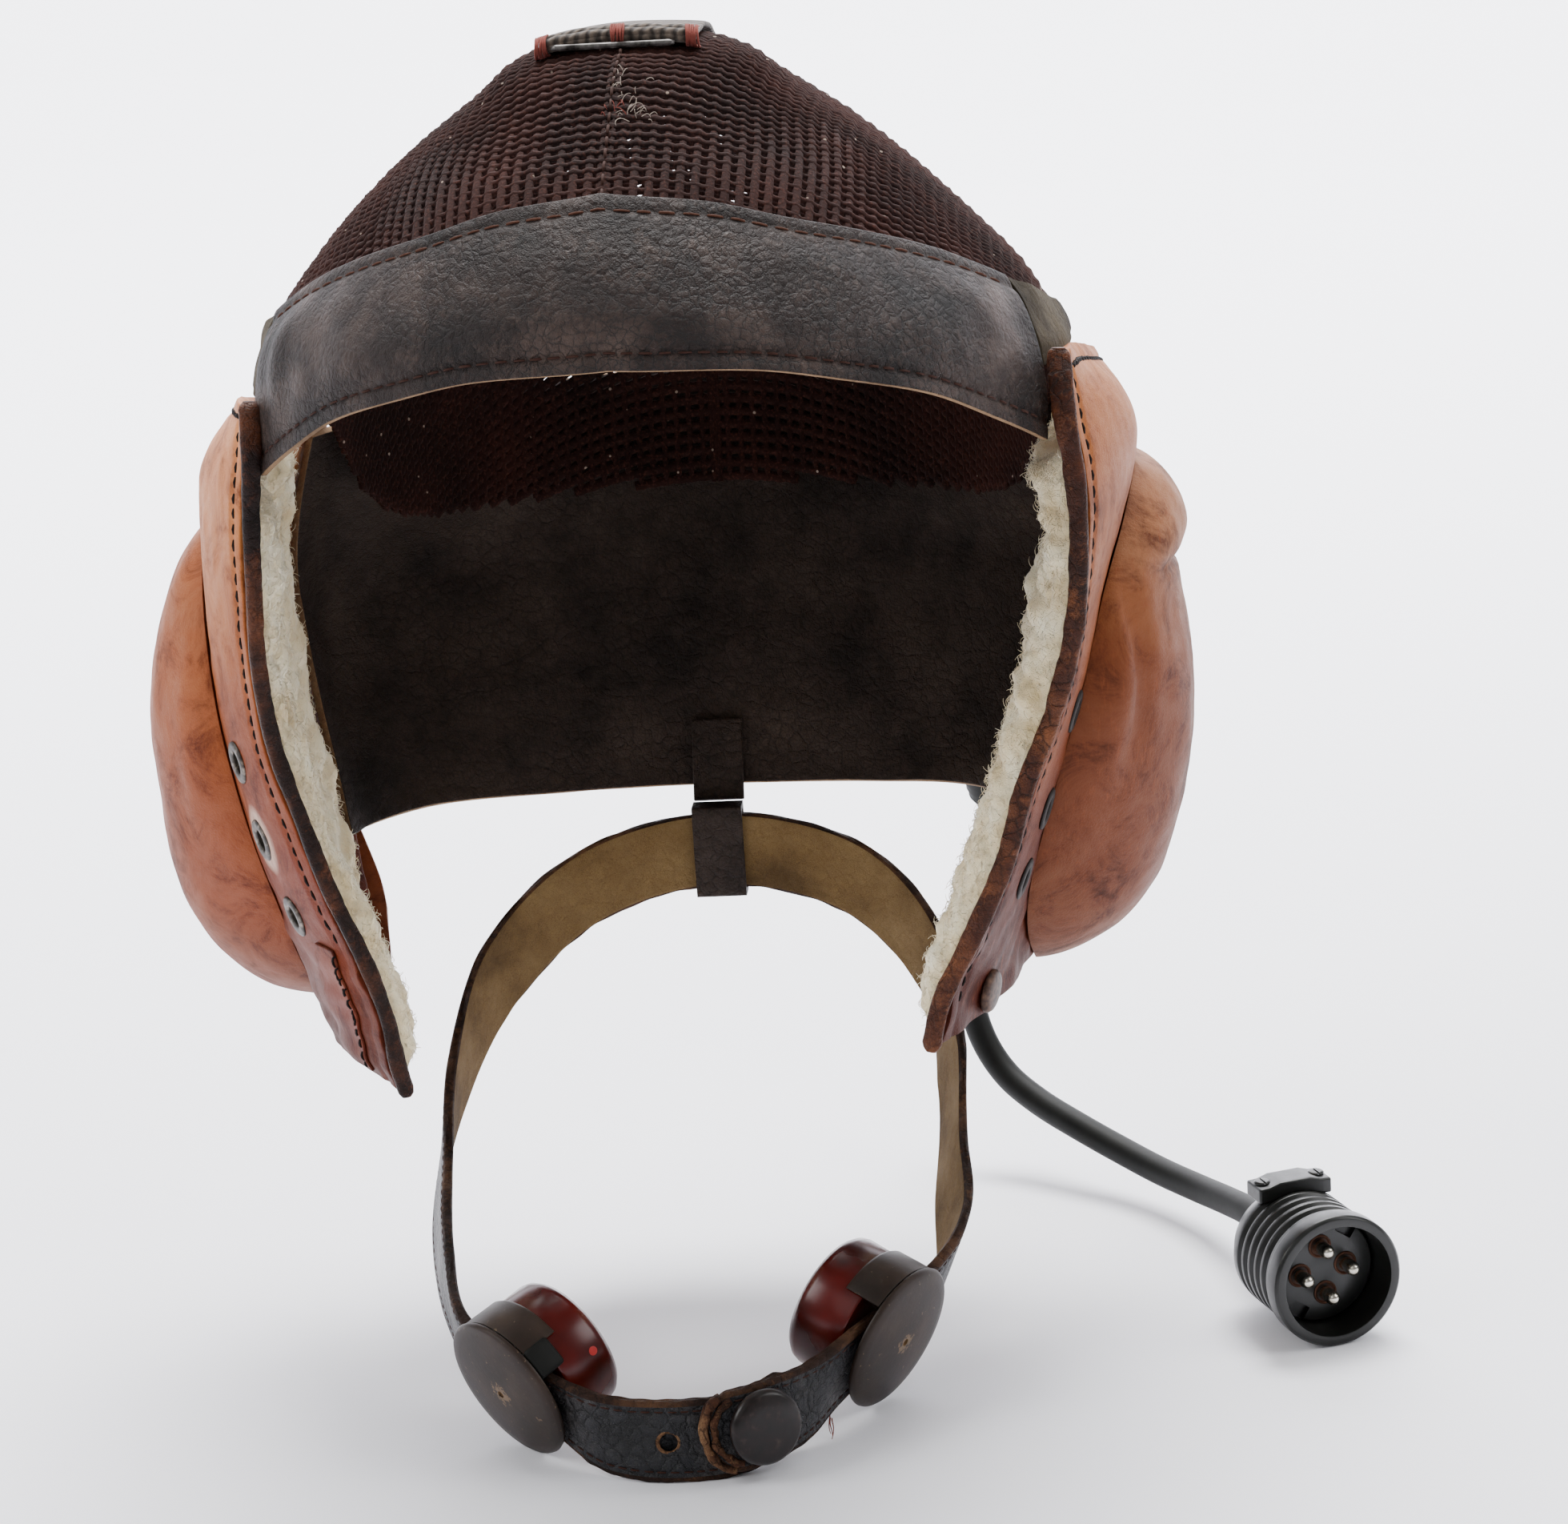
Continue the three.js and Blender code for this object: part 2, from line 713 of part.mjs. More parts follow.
function napeWall(outerLift, innerLift) {
  return wallOf(8, 14, outerLift, innerLift, (fall, turn, lift) => {
    const route = napeRoute(NAPE_TOP + (NAPE_BOTTOM - NAPE_TOP) * fall);
    const run = route.getTangent(turn);
    const outward = new THREE.Vector3(run.y, -run.x, 0).normalize();
    return route.getPoint(turn).addScaledVector(outward, lift);
  });
}

// Height of the crown's outer face over a place near its top.
function crownHeight(x, y) {
  let low = 0;
  let high = HEAD.length - 1;
  for (let turn = 0; turn < 30; turn++) {
    const row = (low + high) / 2;
    const halfWidth = smooth(HEAD, "row", row, "halfWidth");
    const reach = smooth(HEAD, "row", row, y < 0 ? "front" : "back");
    if (halfWidth < 1e-6 || (x / halfWidth) ** 2 + (y / reach) ** 2 > 1) low = row;
    else high = row;
  }
  return -smooth(HEAD, "row", low, "down");
}

// The tape lies over the crown from behind and ends in a roll, held by three tacks.
function crownTape() {
  const seat = (x, y) => crownHeight(x, y) + GAP + 0.4;
  const strip = wallOf(10, 5, TAPE_THICKNESS, 0, (fall, turn, lift) => {
    const x = TAPE_SHIFT + (turn - 0.5) * TAPE_WIDTH;
    const y = TAPE_BACK + (TAPE_ROLL_Y - TAPE_BACK) * fall;
    return new THREE.Vector3(x, y, seat(x, y) + lift);
  });
  const rollSection = (across) => {
    const x = TAPE_SHIFT + (across * (TAPE_WIDTH - 1)) / 2;
    const middle = seat(x, TAPE_ROLL_Y - 2) + TAPE_ROLL_RADIUS;
    return Array.from({ length: 8 }, (_, k) => {
      const turn = ((k + 0.5) / 8) * 2 * Math.PI;
      return new THREE.Vector3(
        x,
        TAPE_ROLL_Y - 0.6 + 3 * Math.cos(turn),
        middle + TAPE_ROLL_RADIUS * Math.sin(turn),
      );
    });
  };
  return joined(strip, loft([-1, -0.66, -0.33, 0, 0.33, 0.66, 1].map(rollSection)));
}

function strapCurve() {
  const places = STRAP.map((row) => new THREE.Vector3(row.x, row.y, row.z));
  return new THREE.CatmullRomCurve3(places, false, "centripetal");
}

// The strap's middle, its outward normal, its upward width direction and its run at a station.
function strapFrame(station) {
  const curve = strapCurve();
  const share = station / (STRAP.length - 1);
  const middle = curve.getPoint(share);
  const along = curve.getTangent(share);
  const upright = UP.clone().addScaledVector(along, -UP.dot(along)).normalize();
  const outward = upright.clone().cross(along).normalize();
  const lean = smooth(STRAP, "row", station, "lean") * DEGREE;
  const width = upright.clone().multiplyScalar(Math.cos(lean)).addScaledVector(outward, Math.sin(lean));
  const normal = outward.clone().multiplyScalar(Math.cos(lean)).addScaledVector(upright, -Math.sin(lean));
  return { middle, along, width, normal };
}

function throatStrap() {
  const steps = 60;
  const sections = Array.from({ length: steps + 1 }, (_, i) => {
    const { middle, width, normal } = strapFrame((i / steps) * (STRAP.length - 1));
    const corner = (out, up) =>
      middle
        .clone()
        .addScaledVector(normal, (out * STRAP_THICKNESS) / 2)
        .addScaledVector(width, (up * STRAP_WIDTH) / 2);
    return [corner(-1, -1), corner(1, -1), corner(1, 1), corner(-1, 1)];
  });
  const { middle, normal, width } = strapFrame(HOLE_STATION);
  return cut(loft(sections), placed(drill(STRAP_HOLE_RADIUS), middle, normal, width));
}

function snapCap() {
  const { middle, normal, width } = strapFrame(SNAP_STATION);
  const cap = turned(
    [
      [0, 0],
      [SNAP_RADIUS - 0.6, 0],
      [SNAP_RADIUS, 0.9],
      [SNAP_RADIUS - 0.4, 2.2],
      [SNAP_RADIUS - 1.4, 2.9],
      [0, 3.1],
    ],
    16,
  );
  const seat = middle.clone().addScaledVector(normal, STRAP_THICKNESS / 2 + GAP + 0.1);
  return placed(cap, seat, normal, width);
}

// A throat microphone: a domed disc outside the strap, a skirt over its top and a capsule inside.
function microphone(station) {
  const { middle, normal, width } = strapFrame(station);
  const seat = (out) => middle.clone().addScaledVector(normal, out);
  const front = STRAP_THICKNESS / 2 + GAP + 0.9;
  const disc = turned(
    [
      [0, 0],
      [MIC_RADIUS - 0.7, 0],
      [MIC_RADIUS, 0.7],
      [MIC_RADIUS - 0.6, 1.7],
      [MIC_RADIUS - 5, 2.6],
      [0, 3],
    ],
    22,
  );
  const capsuleRadius = MIC_RADIUS - 1.6;
  const capsule = turned(
    [
      [0, -MIC_DEPTH],
      [capsuleRadius - 3, -MIC_DEPTH],
      [capsuleRadius - 1, -MIC_DEPTH + 0.8],
      [capsuleRadius, -MIC_DEPTH + 2.8],
      [capsuleRadius, 0],
      [0, 0],
    ],
    20,
  );
  const skirt = wallOf(1, 10, MIC_RADIUS - 0.4, MIC_RADIUS - 1.3, (fall, turn, radius) => {
    const angle = (2 * turn - 1) * 50 * DEGREE;
    const height = front - GAP - fall * (MIC_BAND_DEPTH + STRAP_THICKNESS);
    return new THREE.Vector3(radius * Math.cos(angle), radius * Math.sin(angle), height);
  });
  return {
    disc: placed(disc, seat(front), normal, width),
    skirt: placed(skirt, middle, normal, width),
    capsule: placed(capsule, seat(-STRAP_THICKNESS / 2 - GAP - 0.9), normal, width),
  };
}

// A plain loop round the strap, with a tab that lies inside the nape panel.
function keeper() {
  const { middle } = strapFrame(KEEPER_STATION);
  const room = 0.6;
  const side = 1.6;
  const width = 12;
  const height = STRAP_WIDTH + 2 * room + 2 * side;
  const ring = bar(width, STRAP_THICKNESS + 2 * room + 2 * side, height);
  const window = bar(width + 4, STRAP_THICKNESS + 2 * room, STRAP_WIDTH + 2 * room);
  const bottom = -middle.z - height / 2 + 1;
  const tab = wallOf(3, 1, 0, -side, (fall, turn, lift) => {
    const down = bottom - 18 * (1 - fall);
    const behind = smooth(HEAD, "down", down, "back") + NAPE_LIFT - PANEL_THICKNESS - GAP;
    return new THREE.Vector3(width * (turn - 0.5), behind + lift * (1 + fall), -down);
  });
  const loop = cut(ring, window).translate(middle.x, middle.y, middle.z);
  return joined(loop, tab);
}

const GLAND_DOWN = 172;
const GLAND_TURN = 0.26;
const GLAND_SEAT = napeRoute(GLAND_DOWN).getPoint(GLAND_TURN);
const GLAND_AXIS = new THREE.Vector3(0.12, 0.5, -0.85).normalize();

// The tapered sleeve of the lead, with a round foot on the outside of the nape panel.
function cordGland() {
  const run = napeRoute(GLAND_DOWN).getTangent(GLAND_TURN);
  const outward = new THREE.Vector3(run.y, -run.x, 0);
  const foot = turned([[0, -2], [9.5, -2], [9.5, 2], [8.5, 2.8], [0, 2.8]], 14);
  const taper = [[0, -3], [6.2, -3], [5.8, 6], [4.4, GLAND_LENGTH], [0, GLAND_LENGTH]];
  const sleeve = turned(taper, 14);
  placed(foot, GLAND_SEAT, outward, UP);
  placed(sleeve, GLAND_SEAT, GLAND_AXIS, new THREE.Vector3(1, 0, 0));
  return cut(joined(foot, sleeve), napeWall(GAP, -24));
}

function cord() {
  const exit = GLAND_SEAT.clone().addScaledVector(GLAND_AXIS, GLAND_LENGTH + GAP + 0.1);
  const entry = PLUG_FRONT.clone().addScaledVector(PLUG_AXIS, -PLUG_LENGTH - GAP);
  const route = new THREE.CatmullRomCurve3(
    [exit, ...CORD_ROUTE.map((place) => new THREE.Vector3(...place)), entry],
    false,
    "centripetal",
  );
  const sides = 8;
  const section = new THREE.Shape(
    Array.from({ length: sides }, (_, k) => {
      const turn = (k / sides) * 2 * Math.PI;
      return new THREE.Vector2(Math.cos(turn), Math.sin(turn)).multiplyScalar(CORD_DIAMETER / 2);
    }),
  );
  const tube = new THREE.ExtrudeGeometry(section, { steps: 22, extrudePath: route });
  tube.deleteAttribute("normal");
  tube.deleteAttribute("uv");
  const welded = mergeVertices(tube, 1e-3);
  return volume(welded) < 0 ? flipped(welded) : welded;
}

function onPlug(geometry) {
  return placed(geometry, PLUG_FRONT.clone(), PLUG_AXIS, UP);
}

function plugBody() {
  const ring = 5;
  const grooves = [9, 13.5, 18];
  const outside = grooves.flatMap((depth) => [
    [PLUG_RADIUS - 0.9, -depth + 1.3],
    [PLUG_RADIUS - 2, -depth + 0.9],
    [PLUG_RADIUS - 2, -depth - 0.3],
    [PLUG_RADIUS - 0.9, -depth - 0.7],
  ]);
  const profile = [
    [0, -PLUG_RECESS],
    [PLUG_RADIUS - 2.6, -PLUG_RECESS],
    [PLUG_RADIUS - 2.6, 0],
    [PLUG_RADIUS - 0.5, 0],
    [PLUG_RADIUS, -0.6],
    [PLUG_RADIUS, -ring],
    [PLUG_RADIUS - 0.9, -ring - 0.8],
    ...outside,
    [PLUG_RADIUS - 1.2, -24],
    [PLUG_RADIUS - 3.5, -29],
    [7.5, -PLUG_LENGTH],
    [0, -PLUG_LENGTH],
  ];
  return onPlug(turned(profile, 18));
}

function plugInsert() {
  const floor = -PLUG_RECESS + GAP;
  return onPlug(turned([[0, floor], [11.6, floor], [11.6, PIN_SEAT], [0, PIN_SEAT]], 20));
}

function plugPin(number) {
  const angle = (number * 90 + 5) * DEGREE;
  const pin = turned([[0, 0], [PIN_RADIUS, 0], [PIN_RADIUS, 4.3], [PIN_RADIUS * 0.7, 5], [0, 5.3]], 8);
  pin.translate(PIN_CIRCLE * Math.cos(angle), PIN_CIRCLE * Math.sin(angle), PIN_SEAT + GAP);
  return onPlug(pin);
}

function plugSaddle() {
  const block = bar(6.5, 18, 8).translate(PLUG_RADIUS - 2, 0, -25);
  const seat = PLUG_RADIUS - 0.9 + GAP;
  const room = [[0, 4], [seat, 4], [seat, -24], [PLUG_RADIUS - 3.2, -31], [0, -31]];
  return onPlug(cut(block, turned(room, 24)));
}

// The stud's place on the flap, by depth and Y.
const STUD_PLACE = [202, -37];

function cheekStud(side) {
  const { surface, outward } = eyeletFrame(side, STUD_PLACE);
  const seat = GAP + 0.2;
  const cap = [
    [0, seat],
    [STUD_RADIUS - 0.4, seat],
    [STUD_RADIUS, 1.4],
    [STUD_RADIUS - 0.8, 2.6],
    [0, 2.9],
  ];
  return placed(turned(cap, 14), surface, outward, UP);
}

const FINISHES = {
  net: [0x3f2a25, 0.95, 0],
  tape: [0x5f554d, 0.9, 0],
  steel: [0x3c3a3a, 0.45, 0.9],
  darkLeather: [0x3d322f, 0.6, 0],
  suede: [0x6e6250, 0.95, 0],
  tanLeather: [0xb37451, 0.5, 0],
  binding: [0x4a2c22, 0.6, 0],
  sheepskin: [0xe6ddca, 1, 0],
  eyeletPaint: [0x7a6a5c, 0.5, 0.6],
  discPaint: [0x55443c, 0.45, 0.5],
  bakelite: [0x4a120e, 0.2, 0],
  blackBakelite: [0x161616, 0.3, 0],
  rubber: [0x262722, 0.7, 0],
  nickel: [0xcfc8b8, 0.25, 1],
};

const helmet = new THREE.Group();

function add(name, geometry, finish) {
  const [color, roughness, metalness] = FINISHES[finish];
  const mesh = new THREE.Mesh(geometry, new THREE.MeshStandardMaterial({ color, roughness, metalness }));
  mesh.name = name;
  helmet.add(mesh);
}

const left = netHalf();
add("crown_net_left", swayed(left.clone()), "net");
add("crown_net_right", swayed(mirrored(left)), "net");
add("crown_tape", crownTape(), "tape");
const wireEnd = WIRE_LENGTH / 2;
const wire = turned([[0, -wireEnd], [WIRE_RADIUS, -wireEnd], [WIRE_RADIUS, wireEnd], [0, wireEnd]], 8);
const wireY = TAPE_ROLL_Y - 3.6 - WIRE_RADIUS - GAP;
const wirePlace = new THREE.Vector3(-2.5, wireY, crownHeight(0, wireY + 1) + GAP + WIRE_RADIUS);
add("crown_wire", placed(wire, wirePlace, new THREE.Vector3(1, 0, 0), UP), "steel");
add("forehead_band", swayed(foreheadBand()), "darkLeather");
add("nape_panel", napeWall(0, -PANEL_THICKNESS), "darkLeather");
const SIDES = [["left", 1], ["right", -1]];
for (const [name, side] of SIDES) {
  const face = (geometry) => (side > 0 ? geometry : mirrored(geometry));
  add("temple_gusset_" + name, swayed(face(gusset())), "suede");
  add("ear_panel_" + name, face(earPanel(side)), "tanLeather");
  add("edge_binding_" + name, face(edgeBinding(side)), "binding");
  add("ear_lining_" + name, face(earLining(side)), "sheepskin");
  add("ear_cup_" + name, face(earCup(side)), "tanLeather");
  EYELETS[side].forEach((place, i) => {
    add("eyelet_" + name + "_" + (i + 1), face(eyelet(side, place)), "eyeletPaint");
  });
}
add("cheek_stud", cheekStud(1), "discPaint");
add("throat_strap", throatStrap(), "darkLeather");
add("snap_cap", snapCap(), "discPaint");
add("strap_keeper", keeper(), "darkLeather");
for (const [name, station] of [["left", MIC_LEFT_STATION], ["right", MIC_RIGHT_STATION]]) {
  const { disc, skirt, capsule } = microphone(station);
  add("mic_disc_" + name, disc, "discPaint");
  add("mic_band_" + name, skirt, "discPaint");
  add("mic_capsule_" + name, capsule, "bakelite");
}
add("cord_gland", cordGland(), "rubber");
add("cord", cord(), "rubber");
add("plug_body", plugBody(), "blackBakelite");
add("plug_insert", plugInsert(), "blackBakelite");
add("plug_saddle", plugSaddle(), "blackBakelite");
for (let number = 1; number <= 4; number++) add("plug_pin_" + number, plugPin(number), "nickel");

export default helmet;
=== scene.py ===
import math
import random

import bpy
import numpy as np
from mathutils import Matrix, Vector


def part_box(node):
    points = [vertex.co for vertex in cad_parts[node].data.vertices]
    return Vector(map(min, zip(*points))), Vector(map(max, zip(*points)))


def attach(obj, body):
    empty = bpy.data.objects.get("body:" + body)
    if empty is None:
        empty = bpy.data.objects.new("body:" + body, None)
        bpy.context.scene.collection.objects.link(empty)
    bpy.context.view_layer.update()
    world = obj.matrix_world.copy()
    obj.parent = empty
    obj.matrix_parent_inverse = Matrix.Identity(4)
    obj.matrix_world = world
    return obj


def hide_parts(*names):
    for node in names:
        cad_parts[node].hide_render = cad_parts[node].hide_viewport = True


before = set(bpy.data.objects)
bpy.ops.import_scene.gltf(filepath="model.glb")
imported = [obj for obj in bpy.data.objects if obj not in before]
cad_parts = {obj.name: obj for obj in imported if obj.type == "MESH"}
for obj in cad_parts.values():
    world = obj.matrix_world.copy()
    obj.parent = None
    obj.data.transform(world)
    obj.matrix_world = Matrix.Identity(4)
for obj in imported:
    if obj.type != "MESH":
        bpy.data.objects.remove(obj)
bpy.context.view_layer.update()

# Camera. It stands about a metre in front of the face, a little to the wearer's left and above,
# with a long lens, as in the photograph. It carries the helmet's small sideways tilt.
camera = bpy.data.objects.new("photo_camera", bpy.data.cameras.new("photo_camera"))
bpy.context.scene.collection.objects.link(camera)
camera.data.lens = 107.136
camera.data.sensor_width = 36
camera.data.sensor_fit = "HORIZONTAL"
ahead = Vector((-0.0835, 0.9603, -0.2660)).normalized()
up = Vector((0.0399, 0.2699, 0.9620))
right = ahead.cross(up).normalized()
up = right.cross(ahead)
camera.matrix_world = Matrix(
    (
        (right.x, up.x, -ahead.x, 0.1085),
        (right.y, up.y, -ahead.y, -0.9903),
        (right.z, up.z, -ahead.z, 0.1146),
        (0, 0, 0, 1),
    )
)
bpy.context.scene.camera = camera

# Lead. A black rubber cable, 6.8 mm thick, that leaves the sleeve at the nape, bends down and
# forward, and lies at the height of the floor with its connector. Vulcanised rubber is dull.
MM = 0.001
LEAD_THICKNESS = 6.8
LEAD_ROUTE = [
    [63.66, 88.66, -194.54],
    [64.9, 94.8, -205.2],
    [63.4, 100.8, -217.5],
    [60.1, 104.6, -229],
    [57.3, 107.6, -238.2],
    [55.9, 108.8, -246],
    [55.9, 108.6, -253],
    [57.2, 107.5, -259.4],
    [60, 105.3, -265.6],
    [64.5, 101.5, -271],
    [71.8, 95.1, -275.4],
    [81.8, 85.9, -279],
    [91.5, 77.2, -282],
    [101, 66.3, -283.7],
    [110.2, 52.5, -283.3],
    [116.8, 38.5, -281.3],
    [121.5, 26.5, -279.5],
    [126.61, 11.58, -278.7],
]


def through(points, shares):
    """Places on one smooth curve through points, at shares from 0 to 1 of the way."""
    points = np.asarray(points, float)
    points = np.vstack([2 * points[0] - points[1], points, 2 * points[-1] - points[-2]])
    place = np.clip(np.asarray(shares, float), 0, 1) * (len(points) - 3)
    start = np.minimum(place.astype(int), len(points) - 4)
    weight = (place - start)[:, None]
    before, first, last, after = (points[start + k] for k in range(4))
    spans = [
        np.linalg.norm(b - a, axis=1)[:, None] ** 0.5 for a,
        b in ((before, first), (first, last), (last, after))
    ]
    s0, s1, s2 = spans
    leave = s1 * ((first - before) / s0 - (last - before) / (s0 + s1) + (last - first) / s1)
    arrive = s1 * ((last - first) / s1 - (after - first) / (s1 + s2) + (after - last) / s2)
    return (
        first
        + leave * weight
        + (3 * (last - first) - 2 * leave - arrive) * weight**2
        + (2 * (first - last) + leave + arrive) * weight**3
    )


def linear(hex_colour):
    """An sRGB hex colour as linear red, green, blue and alpha."""
    parts = [int(hex_colour[k : k + 2], 16) / 255 for k in (1, 3, 5)]
    return tuple(p / 12.92 if p <= 0.04045 else ((p + 0.055) / 1.055) ** 2.4 for p in parts) + (1.0,)


def add_node(material, kind, links=None, stops=(), **settings):
    """Adds one node to a material with its settings, its linked or fixed inputs and its ramp stops."""
    tree = material.node_tree
    node = tree.nodes.new("ShaderNode" + kind)
    for setting, value in settings.items():
        setattr(node, setting, value)
    for socket, value in (links or {}).items():
        if isinstance(value, bpy.types.NodeSocket):
            tree.links.new(value, node.inputs[socket])
        elif isinstance(value, str):
            node.inputs[socket].default_value = linear(value)
        else:
            node.inputs[socket].default_value = value
    for _ in stops[2:]:
        node.color_ramp.elements.new(0.5)
    for k, (place, colour) in enumerate(stops):
        node.color_ramp.elements[k].position = place
        node.color_ramp.elements[k].color = linear(colour)
    return node


def new_material(name, **sockets):
    """A material with its shader's own sockets set, and that shader."""
    material = bpy.data.materials.new(name)
    material.use_nodes = True
    shader = material.node_tree.nodes["Principled BSDF"]
    for socket, value in sockets.items():
        socket = socket.replace("_", " ")
        shader.inputs[socket].default_value = linear(value) if isinstance(value, str) else value
    return material, shader


def give(material, shader, socket, output):
    material.node_tree.links.new(output, shader.inputs[socket])


def hand_over(piece, slot, *nodes):
    """Puts a finished piece on the helmet, in place of its CAD nodes."""
    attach(piece, "root")
    if nodes:
        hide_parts(*nodes)
    return piece


black_rubber, shader = new_material(
    "vulcanised_black_rubber", Base_Color="#0b0c09", Roughness=0.6, Specular_IOR_Level=0.2
)
place = add_node(black_rubber, "TexCoord")
dust = add_node(black_rubber, "TexNoise", {"Vector": place.outputs["Object"], "Scale": 260.0, "Detail": 6.0})
tint = add_node(
    black_rubber, "ValToRGB", {"Fac": dust.outputs["Fac"]}, [(0.35, "#070806"), (0.75, "#0f100d")]
)
give(black_rubber, shader, "Base Color", tint.outputs["Color"])
pits = add_node(black_rubber, "Bump", {"Height": dust.outputs["Fac"], "Strength": 0.25, "Distance": 0.0002})
give(black_rubber, shader, "Normal", pits.outputs["Normal"])

lead_line = through(LEAD_ROUTE, np.linspace(0, 1, 160)) * MM
lead_curve = bpy.data.curves.new("lead", "CURVE")
lead_curve.dimensions = "3D"
spline = lead_curve.splines.new("POLY")
spline.points.add(len(lead_line) - 1)
for point, spot in zip(spline.points, lead_line):
    point.co = (*spot, 1)
lead_curve.bevel_depth = LEAD_THICKNESS / 2 * MM
lead_curve.bevel_resolution = 6
lead_curve.use_fill_caps = True
lead_curve.materials.append(black_rubber)
lead = bpy.data.objects.new("lead", lead_curve)
bpy.context.scene.collection.objects.link(lead)
hand_over(lead, "rubber", "cord")

# Connector. A moulded black Bakelite barrel with grip rings, a recessed face that carries four
# nickel pins, a clamp saddle at its back and a soft rubber sleeve where the lead leaves the nape.
UP = np.array([0.0, 0.0, 1.0])
PLUG_FRONT = np.array([140.0, -20.0, -278.7])
PLUG_AXIS = np.array([0.3903, -0.9207, 0.0])
PLUG_RADIUS = 15.3
PLUG_LENGTH = 34.0
PLUG_RECESS = 10.45
PIN_SEAT = -8.6


def as_unit(vectors):
    vectors = np.asarray(vectors, float)
    return vectors / np.maximum(np.linalg.norm(vectors, axis=-1, keepdims=True), 1e-12)


def set_down(piece, origin, z_axis, x_hint):
    """Moves a shape made round the Z axis, in mm, to its place on the helmet, in metres."""
    z = as_unit(z_axis)
    y = as_unit(np.cross(z, x_hint))
    x = np.cross(y, z)
    turn = np.eye(4)
    turn[:3, 0], turn[:3, 1], turn[:3, 2], turn[:3, 3] = x, y, z, origin
    piece.data.transform(Matrix.Scale(MM, 4) @ Matrix(turn.tolist()))
    piece.matrix_world = Matrix.Identity(4)
    return piece


def turned(name, profile, sides=64, bevel=0.25, capped=True):
    """A turned piece: a disc is extruded and resized from step to step of its profile of radius and height."""
    bpy.ops.object.select_all(action="DESELECT")
    radius, height = profile[0]
    fill = "NGON" if capped else "NOTHING"
    bpy.ops.mesh.primitive_circle_add(vertices=sides, radius=radius, fill_type=fill, location=(0, 0, 0))
    piece = bpy.context.active_object
    piece.name = name
    bpy.ops.object.mode_set(mode="EDIT")
    bpy.ops.mesh.select_all(action="SELECT")
    bpy.ops.transform.translate(value=(0, 0, height))
    for next_radius, next_height in profile[1:]:
        bpy.ops.mesh.extrude_region_move(TRANSFORM_OT_translate={"value": (0, 0, next_height - height)})
        share = next_radius / radius
        bpy.ops.transform.resize(value=(share, share, 1), center_override=(0, 0, next_height))
        radius, height = next_radius, next_height
    bpy.ops.mesh.select_all(action="SELECT")
    bpy.ops.mesh.remove_doubles(threshold=0.0005)
    bpy.ops.mesh.normals_make_consistent(inside=False)
    bpy.ops.object.mode_set(mode="OBJECT")
    if bevel:
        soften_edges(piece, bevel, 2)
    return piece


def soften_edges(piece, width, segments, angle=28):
    """Rounds a piece's sharp edges, by a width in its own units, and shades it smooth."""
    bevel = piece.modifiers.new("worn_edges", "BEVEL")
    bevel.width = width
    bevel.segments = segments
    bevel.limit_method = "ANGLE"
    bevel.angle_limit = math.radians(angle)
    bevel.harden_normals = False
    apply_modifiers(piece)
    shade(piece)


def apply_modifiers(piece):
    bpy.ops.object.select_all(action="DESELECT")
    piece.select_set(True)
    bpy.context.view_layer.objects.active = piece
    for modifier in list(piece.modifiers):
        bpy.ops.object.modifier_apply(modifier=modifier.name)


def shade(piece, angle=40):
    bpy.ops.object.select_all(action="DESELECT")
    piece.select_set(True)
    bpy.context.view_layer.objects.active = piece
    bpy.ops.object.shade_smooth_by_angle(angle=math.radians(angle))


def cut_away(piece, *tools):
    """Cuts closed shapes out of a piece and deletes them."""
    for tool in tools:
        cut = piece.modifiers.new("cut", "BOOLEAN")
        cut.operation = "DIFFERENCE"
        cut.solver = "EXACT"
        cut.object = tool
        apply_modifiers(piece)
        bpy.data.objects.remove(tool)
    return piece


def join(name, *pieces):
    bpy.ops.object.select_all(action="DESELECT")
    for piece in pieces:
        piece.select_set(True)
    bpy.context.view_layer.objects.active = pieces[0]
    bpy.ops.object.join()
    pieces[0].name = name
    return pieces[0]


black_bakelite, shader = new_material(
    "moulded_black_bakelite", Base_Color="#0c0d0b", Roughness=0.3, Specular_IOR_Level=0.4
)
place = add_node(black_bakelite, "TexCoord")
rubbed = add_node(
    black_bakelite, "TexNoise", {"Vector": place.outputs["Object"], "Scale": 420.0, "Detail": 5.0}
)
dull = add_node(black_bakelite, "MapRange", {"Value": rubbed.outputs["Fac"], "To Min": 0.24, "To Max": 0.46})
give(black_bakelite, shader, "Roughness", dull.outputs["Result"])
dents = add_node(
    black_bakelite, "Bump", {"Height": rubbed.outputs["Fac"], "Strength": 0.12, "Distance": 0.0002}
)
give(black_bakelite, shader, "Normal", dents.outputs["Normal"])

nickel, shader = new_material("nickelled_brass", Base_Color="#cfcabd", Metallic=1.0, Roughness=0.24)
place = add_node(nickel, "TexCoord")
tarnish = add_node(nickel, "TexNoise", {"Vector": place.outputs["Object"], "Scale": 900.0, "Detail": 4.0})
tint = add_node(nickel, "ValToRGB", {"Fac": tarnish.outputs["Fac"]}, [(0.3, "#a79f8c"), (0.65, "#dcd8cf")])
give(nickel, shader, "Base Color", tint.outputs["Color"])

brass, shader = new_material("browned_brass", Base_Color="#4a2c1c", Metallic=0.6, Roughness=0.5)

